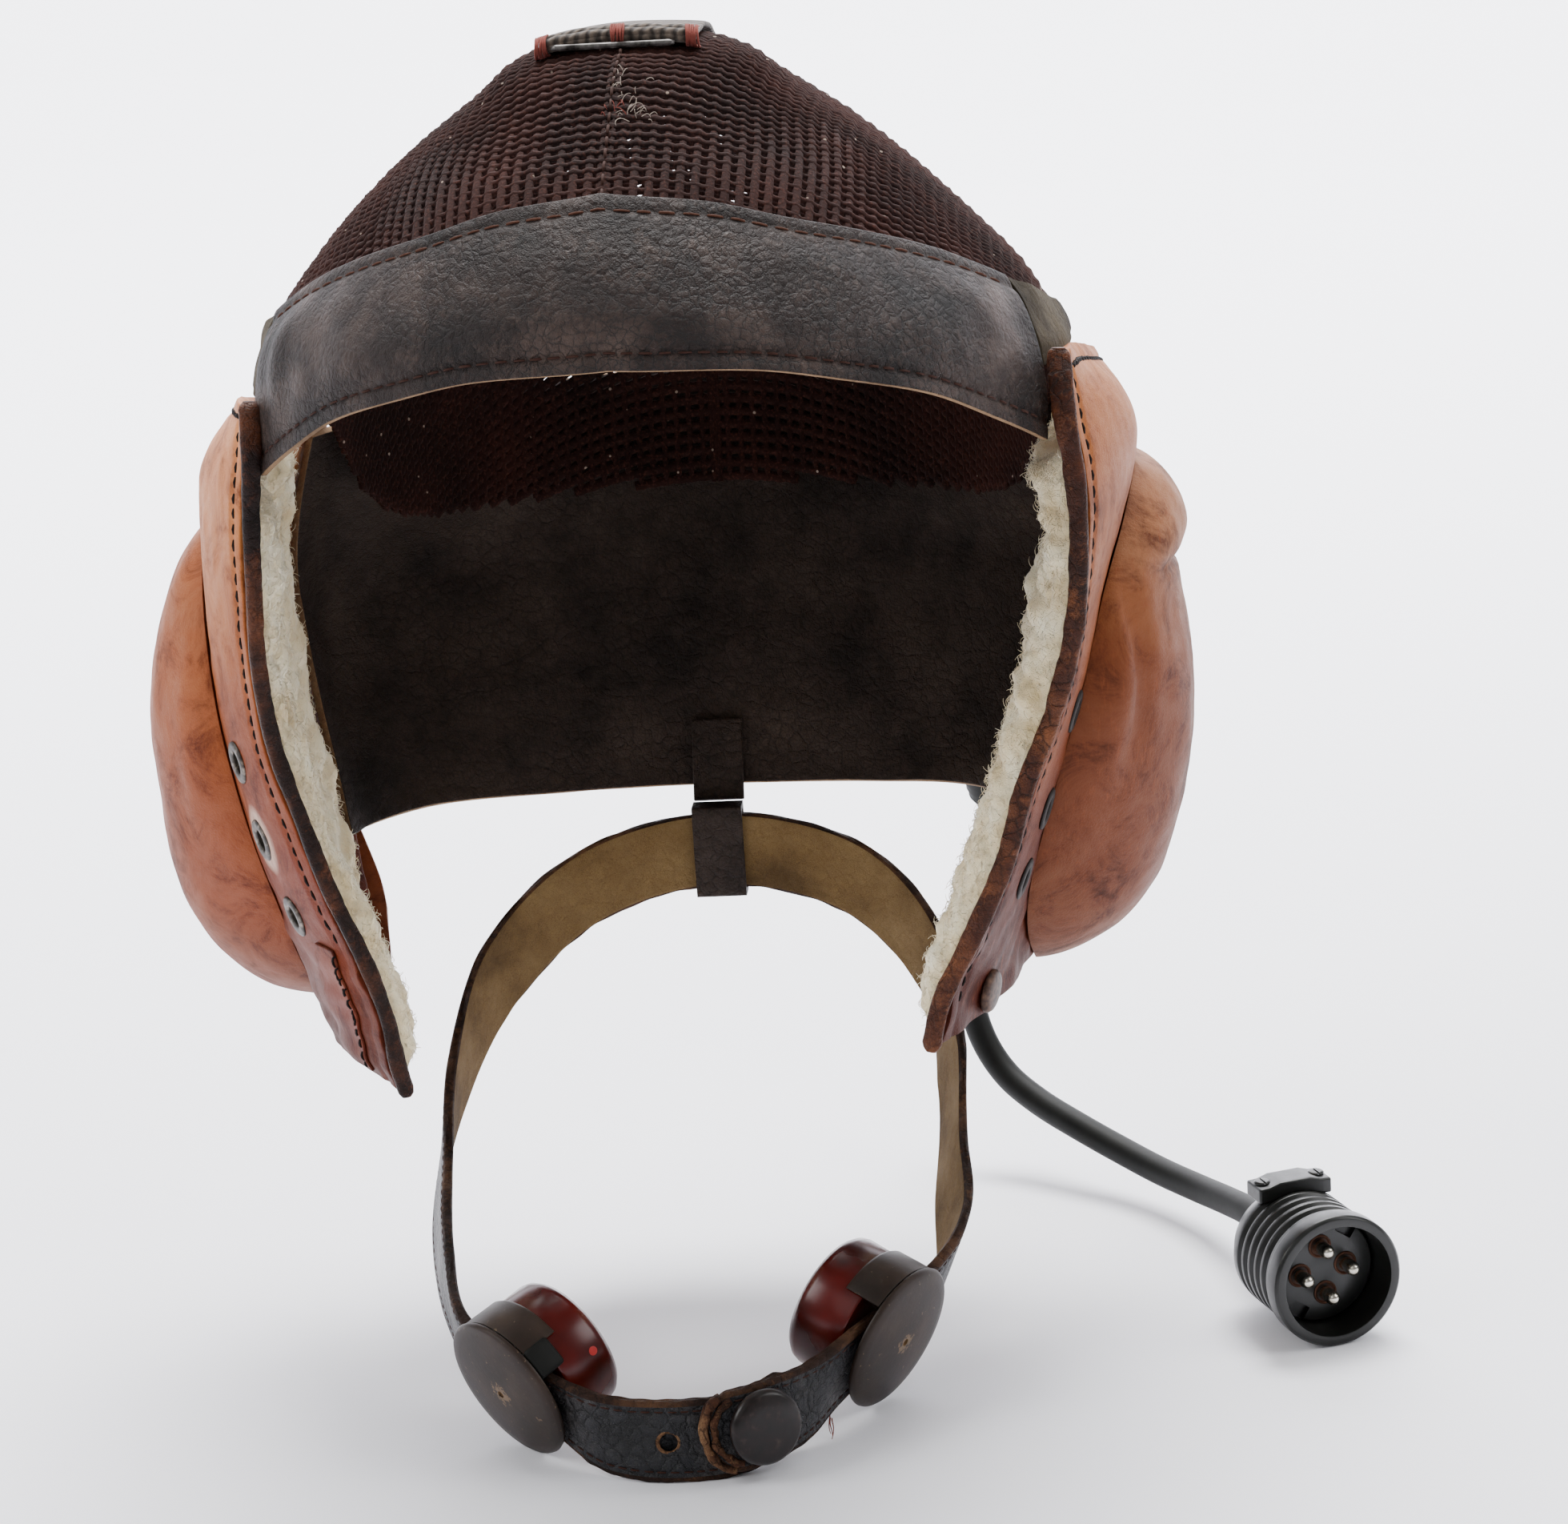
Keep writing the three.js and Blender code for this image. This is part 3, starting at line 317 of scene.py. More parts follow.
barrel_profile = [
    (7.0, -PLUG_LENGTH), (9.2, -PLUG_LENGTH + 1.2), (PLUG_RADIUS - 3.2, -29.5), (PLUG_RADIUS - 1.1, -25)
]
for groove in (-21.5, -18.2, -14.9, -11.6, -8.3):
    barrel_profile += [
        (PLUG_RADIUS - 0.9, groove - 1.05),
        (PLUG_RADIUS - 1.9, groove - 0.6),
        (PLUG_RADIUS - 1.9, groove + 0.5),
        (PLUG_RADIUS - 0.9, groove + 0.95),
    ]
barrel_profile += [
    (PLUG_RADIUS - 0.9, -5.6),
    (PLUG_RADIUS, -4.9),
    (PLUG_RADIUS, -0.7),
    (PLUG_RADIUS - 0.6, 0),
    (PLUG_RADIUS - 2.5, 0),
    (PLUG_RADIUS - 2.7, -PLUG_RECESS),
]
barrel = turned("connector_barrel", barrel_profile, 96, 0.18)
shade(barrel, 35)
barrel.data.materials.append(black_bakelite)
set_down(barrel, PLUG_FRONT, PLUG_AXIS, UP)
hand_over(barrel, "black_bakelite", "plug_body")

insert = turned(
    "connector_insert",
    [(12.3, -10.35), (12.3, PIN_SEAT - 0.4), (11.9, PIN_SEAT), (3.2, PIN_SEAT), (2.6, PIN_SEAT - 0.25)],
    64,
    0.1,
)
keyways = []
for turn in (-35, 145):
    bpy.ops.mesh.primitive_cube_add(size=1)
    keyway = bpy.context.active_object
    away = Matrix.Rotation(math.radians(turn), 4, "Z")
    keyway.data.transform(away @ Matrix.Translation((11.2, 0, -9)) @ Matrix.Diagonal((4.4, 4.4, 2.2, 1)))
    keyways.append(keyway)
cut_away(insert, *keyways)
shade(insert, 35)
insert.data.materials.append(black_bakelite)
set_down(insert, PLUG_FRONT, PLUG_AXIS, UP)
hand_over(insert, "black_bakelite", "plug_insert")

PIN_CIRCLE = 5.6
for number in range(1, 5):
    turn = math.radians(number * 90 + 5)
    spot = (PIN_CIRCLE * math.cos(turn), PIN_CIRCLE * math.sin(turn), 0)
    seat = turned("seat", [(2.75, -9.0), (2.75, -8.35), (2.45, -8.2), (2.1, -8.6)], 32, 0.06)
    seat.data.materials.append(brass)
    pin = turned(
        "pin", [(1.6, -8.7), (1.6, -4.5), (1.45, -3.9), (1.1, -3.4), (0.6, -3.12), (0.2, -3.05)], 32, 0.0
    )
    pin.data.materials.append(nickel)
    pin = join("connector_pin_%d" % number, pin, seat)
    pin.data.transform(Matrix.Translation(spot))
    shade(pin)
    set_down(pin, PLUG_FRONT, PLUG_AXIS, UP)
    hand_over(pin, "nickel", "plug_pin_%d" % number)

bpy.ops.mesh.primitive_cube_add(size=1)
saddle = bpy.context.active_object
saddle.name = "connector_saddle"
saddle.data.transform(Matrix.Translation((PLUG_RADIUS - 0.2, 0, -25)) @ Matrix.Diagonal((3.6, 17.6, 7.6, 1)))
bpy.ops.object.mode_set(mode="EDIT")
bpy.ops.mesh.select_all(action="SELECT")
bpy.ops.mesh.subdivide(number_cuts=6)
bpy.ops.object.mode_set(mode="OBJECT")
for vertex in saddle.data.vertices:
    if abs(vertex.co.y) > 5:
        vertex.co.x -= 0.9 * min(1, (abs(vertex.co.y) - 5) / 1.5)
soften_edges(saddle, 0.5, 3)
saddle.data.materials.append(black_bakelite)
screws = []
for across in (-6.6, 6.6):
    screw = turned("screw", [(1.9, 0), (1.9, 0.5), (1.5, 0.8)], 24, 0.05)
    bpy.ops.mesh.primitive_cube_add(size=1)
    slot = bpy.context.active_object
    slot.data.transform(Matrix.Translation((0, 0, 0.8)) @ Matrix.Diagonal((5, 0.5, 0.7, 1)))
    cut_away(screw, slot)
    screw.data.materials.append(black_bakelite)
    screw.data.transform(
        Matrix.Translation((PLUG_RADIUS + 0.7, across, -25)) @ Matrix.Rotation(math.radians(90), 4, "Y")
    )
    screws.append(screw)
saddle = join("connector_saddle", saddle, *screws)
set_down(saddle, PLUG_FRONT, PLUG_AXIS, UP)
hand_over(saddle, "black_bakelite", "plug_saddle")

# Floor and light. A plain pale sheet that sweeps up behind the helmet, one large soft light on
# each side, one above, and an even pale surround.
FLOOR = -294.0
bpy.ops.object.select_all(action="DESELECT")
bpy.ops.mesh.primitive_grid_add(x_subdivisions=2, y_subdivisions=60, size=1)
floor = bpy.context.active_object
floor.name = "floor_sheet"
for vertex in floor.data.vertices:
    run = (vertex.co.y + 0.5) * 9 - 2.5
    lift = max(run - 1.6, 0)
    vertex.co = (vertex.co.x * 12, min(run, 3.2), FLOOR * MM + 0.35 * lift**2)
floor.data.materials.append(bpy.data.materials.new("pale_paper"))
paper = floor.data.materials[0]
paper.use_nodes = True
paper.node_tree.nodes["Principled BSDF"].inputs["Base Color"].default_value = linear("#f2f2f8")
paper.node_tree.nodes["Principled BSDF"].inputs["Roughness"].default_value = 0.9


def soft_light(name, spot, size, power, colour="#ffffff"):
    """A square soft light that faces the helmet."""
    lamp = bpy.data.objects.new(name, bpy.data.lights.new(name, "AREA"))
    lamp.data.size = size
    lamp.data.energy = power
    lamp.data.color = linear(colour)[:3]
    lamp.location = spot
    lamp.rotation_euler = (Vector((0, 0, -0.14)) - Vector(spot)).to_track_quat("-Z", "Y").to_euler()
    bpy.context.scene.collection.objects.link(lamp)


soft_light("left_window", (-1.25, -0.45, 0.75), 0.8, 15.5)
soft_light("right_window", (1.35, -0.25, 0.7), 0.8, 12.5)
soft_light("overhead", (0.1, 0.45, 1.6), 1.2, 19)
soft_light("front_fill", (-0.3, -1.7, 0.9), 1.2, 4)
backdrop_lamp = bpy.data.objects.new("backdrop_lamp", bpy.data.lights.new("backdrop_lamp", "AREA"))
backdrop_lamp.data.size = 2.2
backdrop_lamp.data.energy = 400
backdrop_lamp.location = (0, 1.3, 2.3)
backdrop_lamp.rotation_euler = (
    Vector((0, 3.2, 0.1)) - Vector((0, 1.3, 2.3))
).to_track_quat("-Z", "Y").to_euler()
bpy.context.scene.collection.objects.link(backdrop_lamp)
world = bpy.data.worlds.new("pale_room")
bpy.context.scene.world = world
world.use_nodes = True
world.node_tree.nodes["Background"].inputs["Color"].default_value = linear("#f2f2f0")
world.node_tree.nodes["Background"].inputs["Strength"].default_value = 0.28

# Net crown. Brown cotton netting in two halves, knitted with stout cords that run from ear to ear
# and thinner ones that cross them, about 3 mm apart, so it is open all over. The halves are sewn
# together on the middle line.
NET_PITCH = 3.1
NET_PIVOT = (20.0, -150.0)


def table(text):
    """Named columns of numbers from a small text table."""
    lines = [line.split() for line in text.strip().splitlines()]
    return {name: np.array([float(line[k]) for line in lines[1:]]) for k, name in enumerate(lines[0])}


def smooth(rows, key, at, column):
    """Smooth values of a column where the key column has the given values."""
    keys, values = rows[key], rows[column]
    at = np.asarray(at, float)
    start = np.clip(np.searchsorted(keys, at, side="right") - 1, 0, len(keys) - 2)
    end = start + 1
    before, after = np.maximum(start - 1, 0), np.minimum(start + 2, len(keys) - 1)
    span = keys[end] - keys[start]
    leave = (values[end] - values[before]) / (keys[end] - keys[before])
    arrive = (values[after] - values[start]) / (keys[after] - keys[start])
    t = np.clip((at - keys[start]) / span, 0, 1)
    return (
        values[start] * (2 * t**3 - 3 * t**2 + 1)
        + leave * span * (t**3 - 2 * t**2 + t)
        + values[end] * (3 * t**2 - 2 * t**3)
        + arrive * span * (t**3 - t**2)
    )


def ease(value, low, high):
    """0 below low, 1 above high, and a smooth step between."""
    t = np.clip((np.asarray(value, float) - low) / (high - low), 0, 1)
    return t * t * (3 - 2 * t)


HEAD = table("""
    row  down halfWidth front  back
    0    -1.5       0     0      0
    1    -1.1      10    11     13
    2     0.3      19    22     26
    3     3.5    26.5    35     38
    4     9.5    33.5    47     53
    5      20      48    67     71
    6      31    60.5    78     82
    7      43      72    85     91
    8      54      81    89     97
    9      66      86    91.5  101
    10     80      89    92.5  103
    11     95      90    92    103
    12    110    89.5    90    101
    13    125    87.5    87     97
    14    140    84.5    82     92
    15    155    80.5    77     86
    16    170      76    72     80
    17    190      70    66     72
""")
HEAD_ROWS = np.linspace(0, 17, 3401)
HEAD_DOWN, HEAD_HALF, HEAD_FRONT, HEAD_BACK = (
    smooth(HEAD, "row", HEAD_ROWS, column) for column in ("down", "halfWidth", "front", "back")
)


def sway(z):
    """The crown leans a little to the wearer's right at its top and to the left lower down."""
    return -0.8 + 3.0 * ease(-np.asarray(z), 30, 80)


def head_reach(down, y):
    front, back = (np.interp(down, HEAD_DOWN, reach) for reach in (HEAD_FRONT, HEAD_BACK))
    return np.where(np.asarray(y) < 0, front, back)


def in_head(spots):
    down = -spots[..., 2]
    half = np.maximum(np.interp(down, HEAD_DOWN, HEAD_HALF), 1e-6)
    reach = np.maximum(head_reach(down, spots[..., 1]), 1e-6)
    return ((spots[..., 0] / half) ** 2 + (spots[..., 1] / reach) ** 2 < 1) & (down > HEAD_DOWN[0])


BAND = table("""
    along  top   bottom
    0      22.5  54
    0.3    25.5  56
    0.5    30.5  60.5
    0.68   35.5  66
    0.84   41.5  74
    0.95   47.5  79.5
    1      50.5  82
""")
BAND_END_TOP = 74.0
BAND_END_BOTTOM = 65.0
NET_EDGE = table("""
    angle  down
    74     62.5
    88     72
    100    79
    112    82
    118    92
    124    108
    135    116
    180    118
""")


def net_edge(degrees):
    """How far down the net reaches, by the angle round the head from the front."""
    front = smooth(BAND, "along", np.minimum(degrees / BAND_END_TOP, 1), "top") + 12
    return np.where(degrees < BAND_END_TOP, front, smooth(NET_EDGE, "angle", degrees, "down"))


def strands(name, lines, sides, closed_ends=True):
    """One mesh of many round strands. Each line has its places, normals, half widths and half heights."""
    vertices, faces = [], []
    turns = np.arange(sides) / sides * 2 * math.pi + math.pi / sides
    for places, normals, widths, heights in lines:
        places = np.asarray(places, float)
        count = len(places)
        run = as_unit(np.gradient(places, axis=0))
        normals = np.broadcast_to(np.asarray(normals, float), places.shape)
        across = as_unit(np.cross(run, normals))
        off = as_unit(np.cross(across, run))
        widths = np.broadcast_to(widths, count)[:, None, None]
        heights = np.broadcast_to(heights, count)[:, None, None]
        ring = (
            places[:, None, :]
            + across[:, None, :] * np.cos(turns)[None, :, None] * widths
            + off[:, None, :] * np.sin(turns)[None, :, None] * heights
        )
        base = sum(map(len, vertices))
        vertices.append(ring.reshape(-1, 3))
        for k in range(count - 1):
            for j in range(sides):
                a, b = base + k * sides + j, base + k * sides + (j + 1) % sides
                faces.append((a, b, b + sides, a + sides))
        if closed_ends:
            faces.append(tuple(base + j for j in reversed(range(sides))))
            faces.append(tuple(base + (count - 1) * sides + j for j in range(sides)))
    mesh = bpy.data.meshes.new(name)
    mesh.from_pydata((np.vstack(vertices) * MM).tolist(), [], faces)
    mesh.polygons.foreach_set("use_smooth", [True] * len(mesh.polygons))
    piece = bpy.data.objects.new(name, mesh)
    bpy.context.scene.collection.objects.link(piece)
    return piece


def seam_line():
    """The crown's middle line from behind the band, over the top, to behind the nape panel."""
    front = HEAD_ROWS[HEAD_DOWN < 34.5][::-1]
    back = HEAD_ROWS[HEAD_DOWN < 118]
    y = np.r_[-np.interp(front, HEAD_ROWS, HEAD_FRONT), np.interp(back[1:], HEAD_ROWS, HEAD_BACK)]
    z = np.r_[-np.interp(front, HEAD_ROWS, HEAD_DOWN), -np.interp(back[1:], HEAD_ROWS, HEAD_DOWN)]
    return np.stack([0 * y, y, z], 1)


def spread(line, step):
    """Places a step apart along a line of points."""
    walked = np.r_[0, np.cumsum(np.linalg.norm(np.diff(line, axis=0), axis=1))]
    at = np.arange(0, walked[-1], step)
    return np.stack([np.interp(at, walked, line[:, k]) for k in range(3)], 1)


def cord_across(start, step):
    """One cord of the net, from a place on the seam sideways round the head, by steps along it."""
    pivot = np.array([0, *NET_PIVOT])
    upright = as_unit(start - pivot)
    turn = np.linspace(0, math.pi / 2, 240)[:, None]
    low, high = np.zeros((240, 1)), np.full((240, 1), 420.0)
    for _ in range(34):
        middle = (low + high) / 2
        spots = pivot + middle * (np.cos(turn) * upright + np.sin(turn) * np.array([1, 0, 0]))
        inside = in_head(spots)[:, None]
        low, high = np.where(inside, middle, low), np.where(inside, high, middle)
    return spread(spots, step)


def crown_grid():
    """Crossings of the net, every half pitch along each cord, with their normals."""
    rows = [cord_across(start, NET_PITCH / 2) for start in spread(seam_line(), NET_PITCH)]
    columns = max(map(len, rows))
    grid = np.full((len(rows), columns, 3), np.nan)
    for k, row in enumerate(rows):
        grid[k, : len(row)] = row
    down_line = np.stack([np.gradient(grid[..., k], axis=0) for k in range(3)], -1)
    along_line = np.stack([np.gradient(grid[..., k], axis=1) for k in range(3)], -1)
    normals = as_unit(np.cross(down_line, along_line))
    away = grid - np.array([0, 0, -60.0])
    normals *= np.sign((normals * away).sum(-1, keepdims=True))
    degrees = np.degrees(np.arctan2(grid[..., 0], -grid[..., 1]))
    there = np.isfinite(normals).all(-1) & (-grid[..., 2] < net_edge(np.abs(degrees)) - 1)
    return grid, normals, there


def on_side(places, side, directions=False):
    """A half modelled on the wearer's left, put on its own side and leaned with the crown."""
    moved = np.array(places, float)
    moved[..., 0] *= side
    if not directions:
        moved[..., 0] += sway(moved[..., 2])
    return moved


def wide_mesh(places):
    """1 where the net is stretched to open squares, over the middle of the forehead, and 0 away from it."""
    low = ease(-places[:, 2], 9, 24)
    return low * (1 - ease(np.abs(places[:, 0]), 36, 62)) * (1 - ease(places[:, 1], -20, 0))


grid, normals, there = crown_grid()
chance = random.Random(7)
net_yarn, shader = new_material(
    "brown_cotton_net_yarn", Base_Color="#28100b", Roughness=0.92, Specular_IOR_Level=0.2
)
shader.inputs["Sheen Weight"].default_value = 0.06
shader.inputs["Sheen Roughness"].default_value = 0.5
shader.inputs["Sheen Tint"].default_value = linear("#8a6a60")
place = add_node(net_yarn, "TexCoord")
patches = add_node(net_yarn, "TexNoise", {"Vector": place.outputs["Object"], "Scale": 38.0, "Detail": 3.0})
fibres = add_node(net_yarn, "TexNoise", {"Vector": place.outputs["Object"], "Scale": 1500.0, "Detail": 3.0})
tint = add_node(net_yarn, "ValToRGB", {"Fac": patches.outputs["Fac"]}, [(0.35, "#170705"), (0.7, "#2c130e")])
worn = add_node(net_yarn, "ValToRGB", {"Fac": fibres.outputs["Fac"]}, [(0.52, "#000000"), (0.8, "#4a2a20")])
yarn_colour = add_node(
    net_yarn,
    "Mix",
    {0: 0.6, 6: tint.outputs["Color"], 7: worn.outputs["Color"]},
    data_type="RGBA",
    blend_type="SCREEN",
)
lint = add_node(net_yarn, "TexVoronoi", {"Vector": place.outputs["Object"], "Scale": 170.0})
speck = add_node(
    net_yarn, "MapRange", {"Value": lint.outputs["Distance"], "From Min": 0.07, "From Max": 0.05}
)
pale = add_node(
    net_yarn,
    "Mix",
    {0: speck.outputs["Result"], 6: yarn_colour.outputs[2], 7: "#8c7c70"},
    data_type="RGBA",
)
give(net_yarn, shader, "Base Color", pale.outputs[2])
twist = add_node(net_yarn, "Bump", {"Height": fibres.outputs["Fac"], "Strength": 0.6, "Distance": 0.0004})
give(net_yarn, shader, "Normal", twist.outputs["Normal"])

for name, side in (("left", 1), ("right", -1)):
    lines = []
    for k in range(len(grid)):
        run = np.flatnonzero(there[k])
        if len(run) < 4:
            continue
        run = np.arange(run[0], run[-1] + 1)
        places, off = grid[k, run], normals[k, run]
        crossing = run % 2 == 0
        wander = np.array([chance.uniform(-0.16, 0.16) for _ in run])
        heights = np.where(crossing, 0.8, 0.64) + wander * 0.4
        widths = np.where(crossing, 1.2, 0.96) + wander * 0.5
        widths *= (1 - 0.2 * wide_mesh(places)) * (1 + 0.3 * ease(places[:, 1], 0, 40))
        lift = np.where(crossing, -0.62, -0.85) + wander * 0.5
        off = np.nan_to_num(off, nan=0.0)
        lines.append((on_side(places + off * lift[:, None], side), on_side(off, side, True), widths, heights))
    for j in range(0, grid.shape[1], 2):
        column = there[:, j]
        edges = np.flatnonzero(np.diff(np.r_[0, column.astype(int), 0]))
        for first, last in zip(edges[::2], edges[1::2]):
            if last - first < 3:
                continue
            places, off = grid[first:last, j], normals[first:last, j]
            wide = wide_mesh(places)
            thick = 0.78 + 0.24 * wide
            lift = (-0.95 + 0.45 * wide)[:, None]
            lines.append(
                (on_side(places + off * lift, side), on_side(off, side, True), thick, 0.5 + 0.14 * wide)
            )
    fold = np.array([spot for spot in spread(seam_line(), 1.55)])
    outward = as_unit(np.cross(np.gradient(fold, axis=0), np.array([1.0, 0, 0])))
    outward *= np.sign((outward * (fold - np.array([0, 0, -60.0]))).sum(-1, keepdims=True))
    beside = fold + np.array([0.85, 0, 0]) - outward * 0.95
    lines.append((on_side(beside, side), on_side(outward, side, True), 0.7, 0.6))
    net = strands("net_" + name, lines, 6)
    if side < 0:
        net.data.flip_normals()
    net.data.materials.append(net_yarn)
    hand_over(net, "net", "crown_net_" + name)

# Seam thread. A red-brown running stitch down the crown's middle, with a small darn and frayed pale
# ends of thread near the top, where the net has been mended.
def head_spot(down, degrees, lift=0.0):
    """A place on the head form, by depth and by angle from the front, lifted off it."""
    down, degrees = np.broadcast_arrays(np.asarray(down, float), np.asarray(degrees, float))
    row = np.interp(down, HEAD_DOWN, HEAD_ROWS)

    def surface(row, turn):
        reach = np.where(
            np.cos(turn) > 0, smooth(HEAD, "row", row, "front"), smooth(HEAD, "row", row, "back")
        )
        half = smooth(HEAD, "row", row, "halfWidth")
        return np.stack([half * np.sin(turn), -reach * np.cos(turn), -smooth(HEAD, "row", row, "down")], -1)

    turn = np.radians(degrees)
    step = 1e-3
    down_way = surface(row + step, turn) - surface(row - step, turn)
    round_way = surface(row, turn + step) - surface(row, turn - step)
    spot = surface(row, turn) + as_unit(np.cross(down_way, round_way)) * np.asarray(lift)[..., None]
    spot[..., 0] += sway(spot[..., 2])
    return spot


def stitches(name, material, line, normals, stitch, gap, radius, sink=0.25, slant=0.0, seed=3):
    """A row of separate stitches along a line, each of which dips in at its two ends."""
    line = np.asarray(line, float)
    walked = np.r_[0, np.cumsum(np.linalg.norm(np.diff(line, axis=0), axis=1))]
    normals = np.broadcast_to(normals, line.shape)
    draw = random.Random(seed)
    lines = []
    at = gap
    while at + stitch < walked[-1]:
        long = stitch * draw.uniform(0.85, 1.12)
        shares = at + long * np.array([0, 0.12, 0.5, 0.88, 1])
        spots = np.stack([np.interp(shares, walked, line[:, k]) for k in range(3)], 1)
        off = as_unit(np.stack([np.interp(shares, walked, normals[:, k]) for k in range(3)], 1))
        aside = as_unit(np.cross(as_unit(spots[-1] - spots[0]), off[2]))
        lean = (slant + draw.uniform(-0.05, 0.05)) * long * np.linspace(-0.5, 0.5, 5)[:, None]
        depth = np.array([-sink - radius, 0, radius * 0.55, 0, -sink - radius])[:, None]
        fat = radius * draw.uniform(0.85, 1.15) * np.array([0.7, 1, 1.05, 1, 0.7])
        lines.append((spots + off * depth + aside * lean, off, fat, fat))
        at += long + gap * draw.uniform(0.8, 1.25)
    row = strands(name, lines, 6)
    row.data.materials.append(material)
    return row


def sewing_thread(name, colour):
    thread, shader = new_material(name, Base_Color=colour, Roughness=0.8)
    shader.inputs["Specular IOR Level"].default_value = 0.2
    place = add_node(thread, "TexCoord")
    plies = add_node(thread, "TexNoise", {"Vector": place.outputs["Object"], "Scale": 2600.0, "Detail": 2.0})
    ply = add_node(thread, "Bump", {"Height": plies.outputs["Fac"], "Strength": 0.6, "Distance": 0.0002})
    give(thread, shader, "Normal", ply.outputs["Normal"])
    return thread


rust_thread = sewing_thread("waxed_rust_brown_thread", "#321c15")
orange_thread = sewing_thread("faded_orange_brown_thread", "#46291d")
salmon_thread = sewing_thread("salmon_red_cotton_thread", "#7a3d35")
pale_thread = sewing_thread("frayed_grey_cotton_thread", "#9c8f84")
dark_thread = sewing_thread("waxed_dark_brown_thread", "#120a08")

front_seam = spread(seam_line(), 1.0)[6:92]
outward = as_unit(np.cross(np.gradient(front_seam, axis=0), np.array([1.0, 0, 0])))
outward *= np.sign((outward * (front_seam - np.array([0, 0, -60.0]))).sum(-1, keepdims=True))
on_seam = on_side(front_seam, 1) + outward * 0.1
seam_stitches = stitches("seam_stitches", rust_thread, on_seam, outward, 3.0, 1.2, 0.32, 0.5)
hand_over(seam_stitches, "net")


def loose_threads(name, material, middle_down, middle_degrees, count, reach, radius, seed):
    """Short frayed threads that lie about on the net round one place, each curled a little."""
    draw = random.Random(seed)
    lines = []
    for _ in range(count):
        down = middle_down + draw.gauss(0, 1.3)
        degrees = middle_degrees + draw.gauss(0, 3.5)
        heading = draw.uniform(0, 2 * math.pi)
        bend = draw.uniform(-1.6, 1.6)
        length = reach * draw.uniform(0.4, 1.3)
        shares = np.linspace(0, 1, 9)
        turn = heading + bend * shares
        step_side = np.cumsum(np.cos(turn)) * length / 9
        step_down = np.cumsum(np.sin(turn)) * length / 9
        lift = 0.1 + draw.uniform(0.3, 1.6) * np.sin(shares * math.pi * draw.uniform(0.6, 1.0))
        spots = head_spot(down + step_down * 0.45, degrees + step_side * 1.6, lift)
        away = as_unit(spots - np.array([0, 0, -60.0]))
        lines.append((spots, away, radius * (1.1 - 0.7 * shares), radius * (1.1 - 0.7 * shares)))
    tuft = strands(name, lines, 4)
    tuft.data.materials.append(material)
    return hand_over(tuft, "net")


loose_threads("frayed_ends", pale_thread, 4.6, 2, 12, 2.6, 0.09, 11)
loose_threads("darned_place", pale_thread, 9.0, 8, 20, 3.0, 0.09, 5)
loose_threads("darned_place_red", salmon_thread, 8.6, 5, 6, 2.6, 0.12, 6)

# Crown tape. Grey-brown twill webbing, 32 mm wide, laid over the top from behind. Its front end is
# rolled and held by three bar tacks of salmon thread, with a dark steel wire under the roll.
TAPE_WIDTH = 32.0
TAPE_SHIFT = -1.5
TAPE_ROLL_Y = -12.5
TAPE_BACK = 46.0
TAPE_ROLL_RADIUS = 1.9


def crown_height(x, y):
    """Height of the crown over places near its top."""
    x, y = np.broadcast_arrays(np.asarray(x, float), np.asarray(y, float))
    half = np.maximum(HEAD_HALF, 1e-6)
    reach = np.where(y[..., None] < 0, np.maximum(HEAD_FRONT, 1e-6), np.maximum(HEAD_BACK, 1e-6))
    share = (x[..., None] / half) ** 2 + (y[..., None] / reach) ** 2
    return -HEAD_DOWN[np.argmax(share <= 1, axis=-1)]


def sewn_sheet(name, columns, rows, place, thickness, out, rim_slot=False, bevel=0.3):
    """A flat grid put on its form, given its wall by a modifier. Place takes shares from left to
    right and from top to bottom, and out is any point on the side that the sheet faces away from."""
    bpy.ops.object.select_all(action="DESELECT")
    bpy.ops.mesh.primitive_grid_add(x_subdivisions=columns, y_subdivisions=rows, size=2)
    sheet = bpy.context.active_object
    sheet.name = name
    flat = np.empty(len(sheet.data.vertices) * 3)
    sheet.data.vertices.foreach_get("co", flat)
    flat = flat.reshape(-1, 3)
    across, down = flat[:, 0] / 2 + 0.5, 0.5 - flat[:, 1] / 2
    spots = place(across, down) * MM
    sheet.data.vertices.foreach_set("co", spots.ravel())
    sheet.data.update()
    facing = np.array([np.array(face.normal) for face in sheet.data.polygons])
    middles = np.array([np.array(face.center) for face in sheet.data.polygons])
    if ((middles - np.asarray(out) * MM) * facing).sum() < 0:
        sheet.data.flip_normals()
    if thickness:
        wall = sheet.modifiers.new("wall", "SOLIDIFY")
        wall.thickness = thickness * MM
        wall.offset = -1
        wall.use_even_offset = True
        wall.material_offset_rim = 1 if rim_slot else 0
    if bevel:
        rim = sheet.modifiers.new("rim", "BEVEL")
        rim.width = bevel * MM
        rim.segments = 2
        rim.limit_method = "ANGLE"
        rim.angle_limit = math.radians(55)
    return sheet


def finish_sheet(sheet, *materials):
    for material in materials:
        sheet.data.materials.append(material)
    apply_modifiers(sheet)
    shade(sheet, 50)
    return sheet


def fine_noise(spots, size, seed=0):
    """A smooth random height for each place, from a few crossed waves, with no step or seam."""
    draw = random.Random(seed)
    total = np.zeros(spots.shape[:-1])
    for _ in range(7):
        way = as_unit([draw.gauss(0, 1) for _ in range(3)])
        long = size * draw.uniform(0.7, 1.5)
        total += np.sin(spots @ way * 2 * math.pi / long + draw.uniform(0, 6.3))
    return total / 3.2


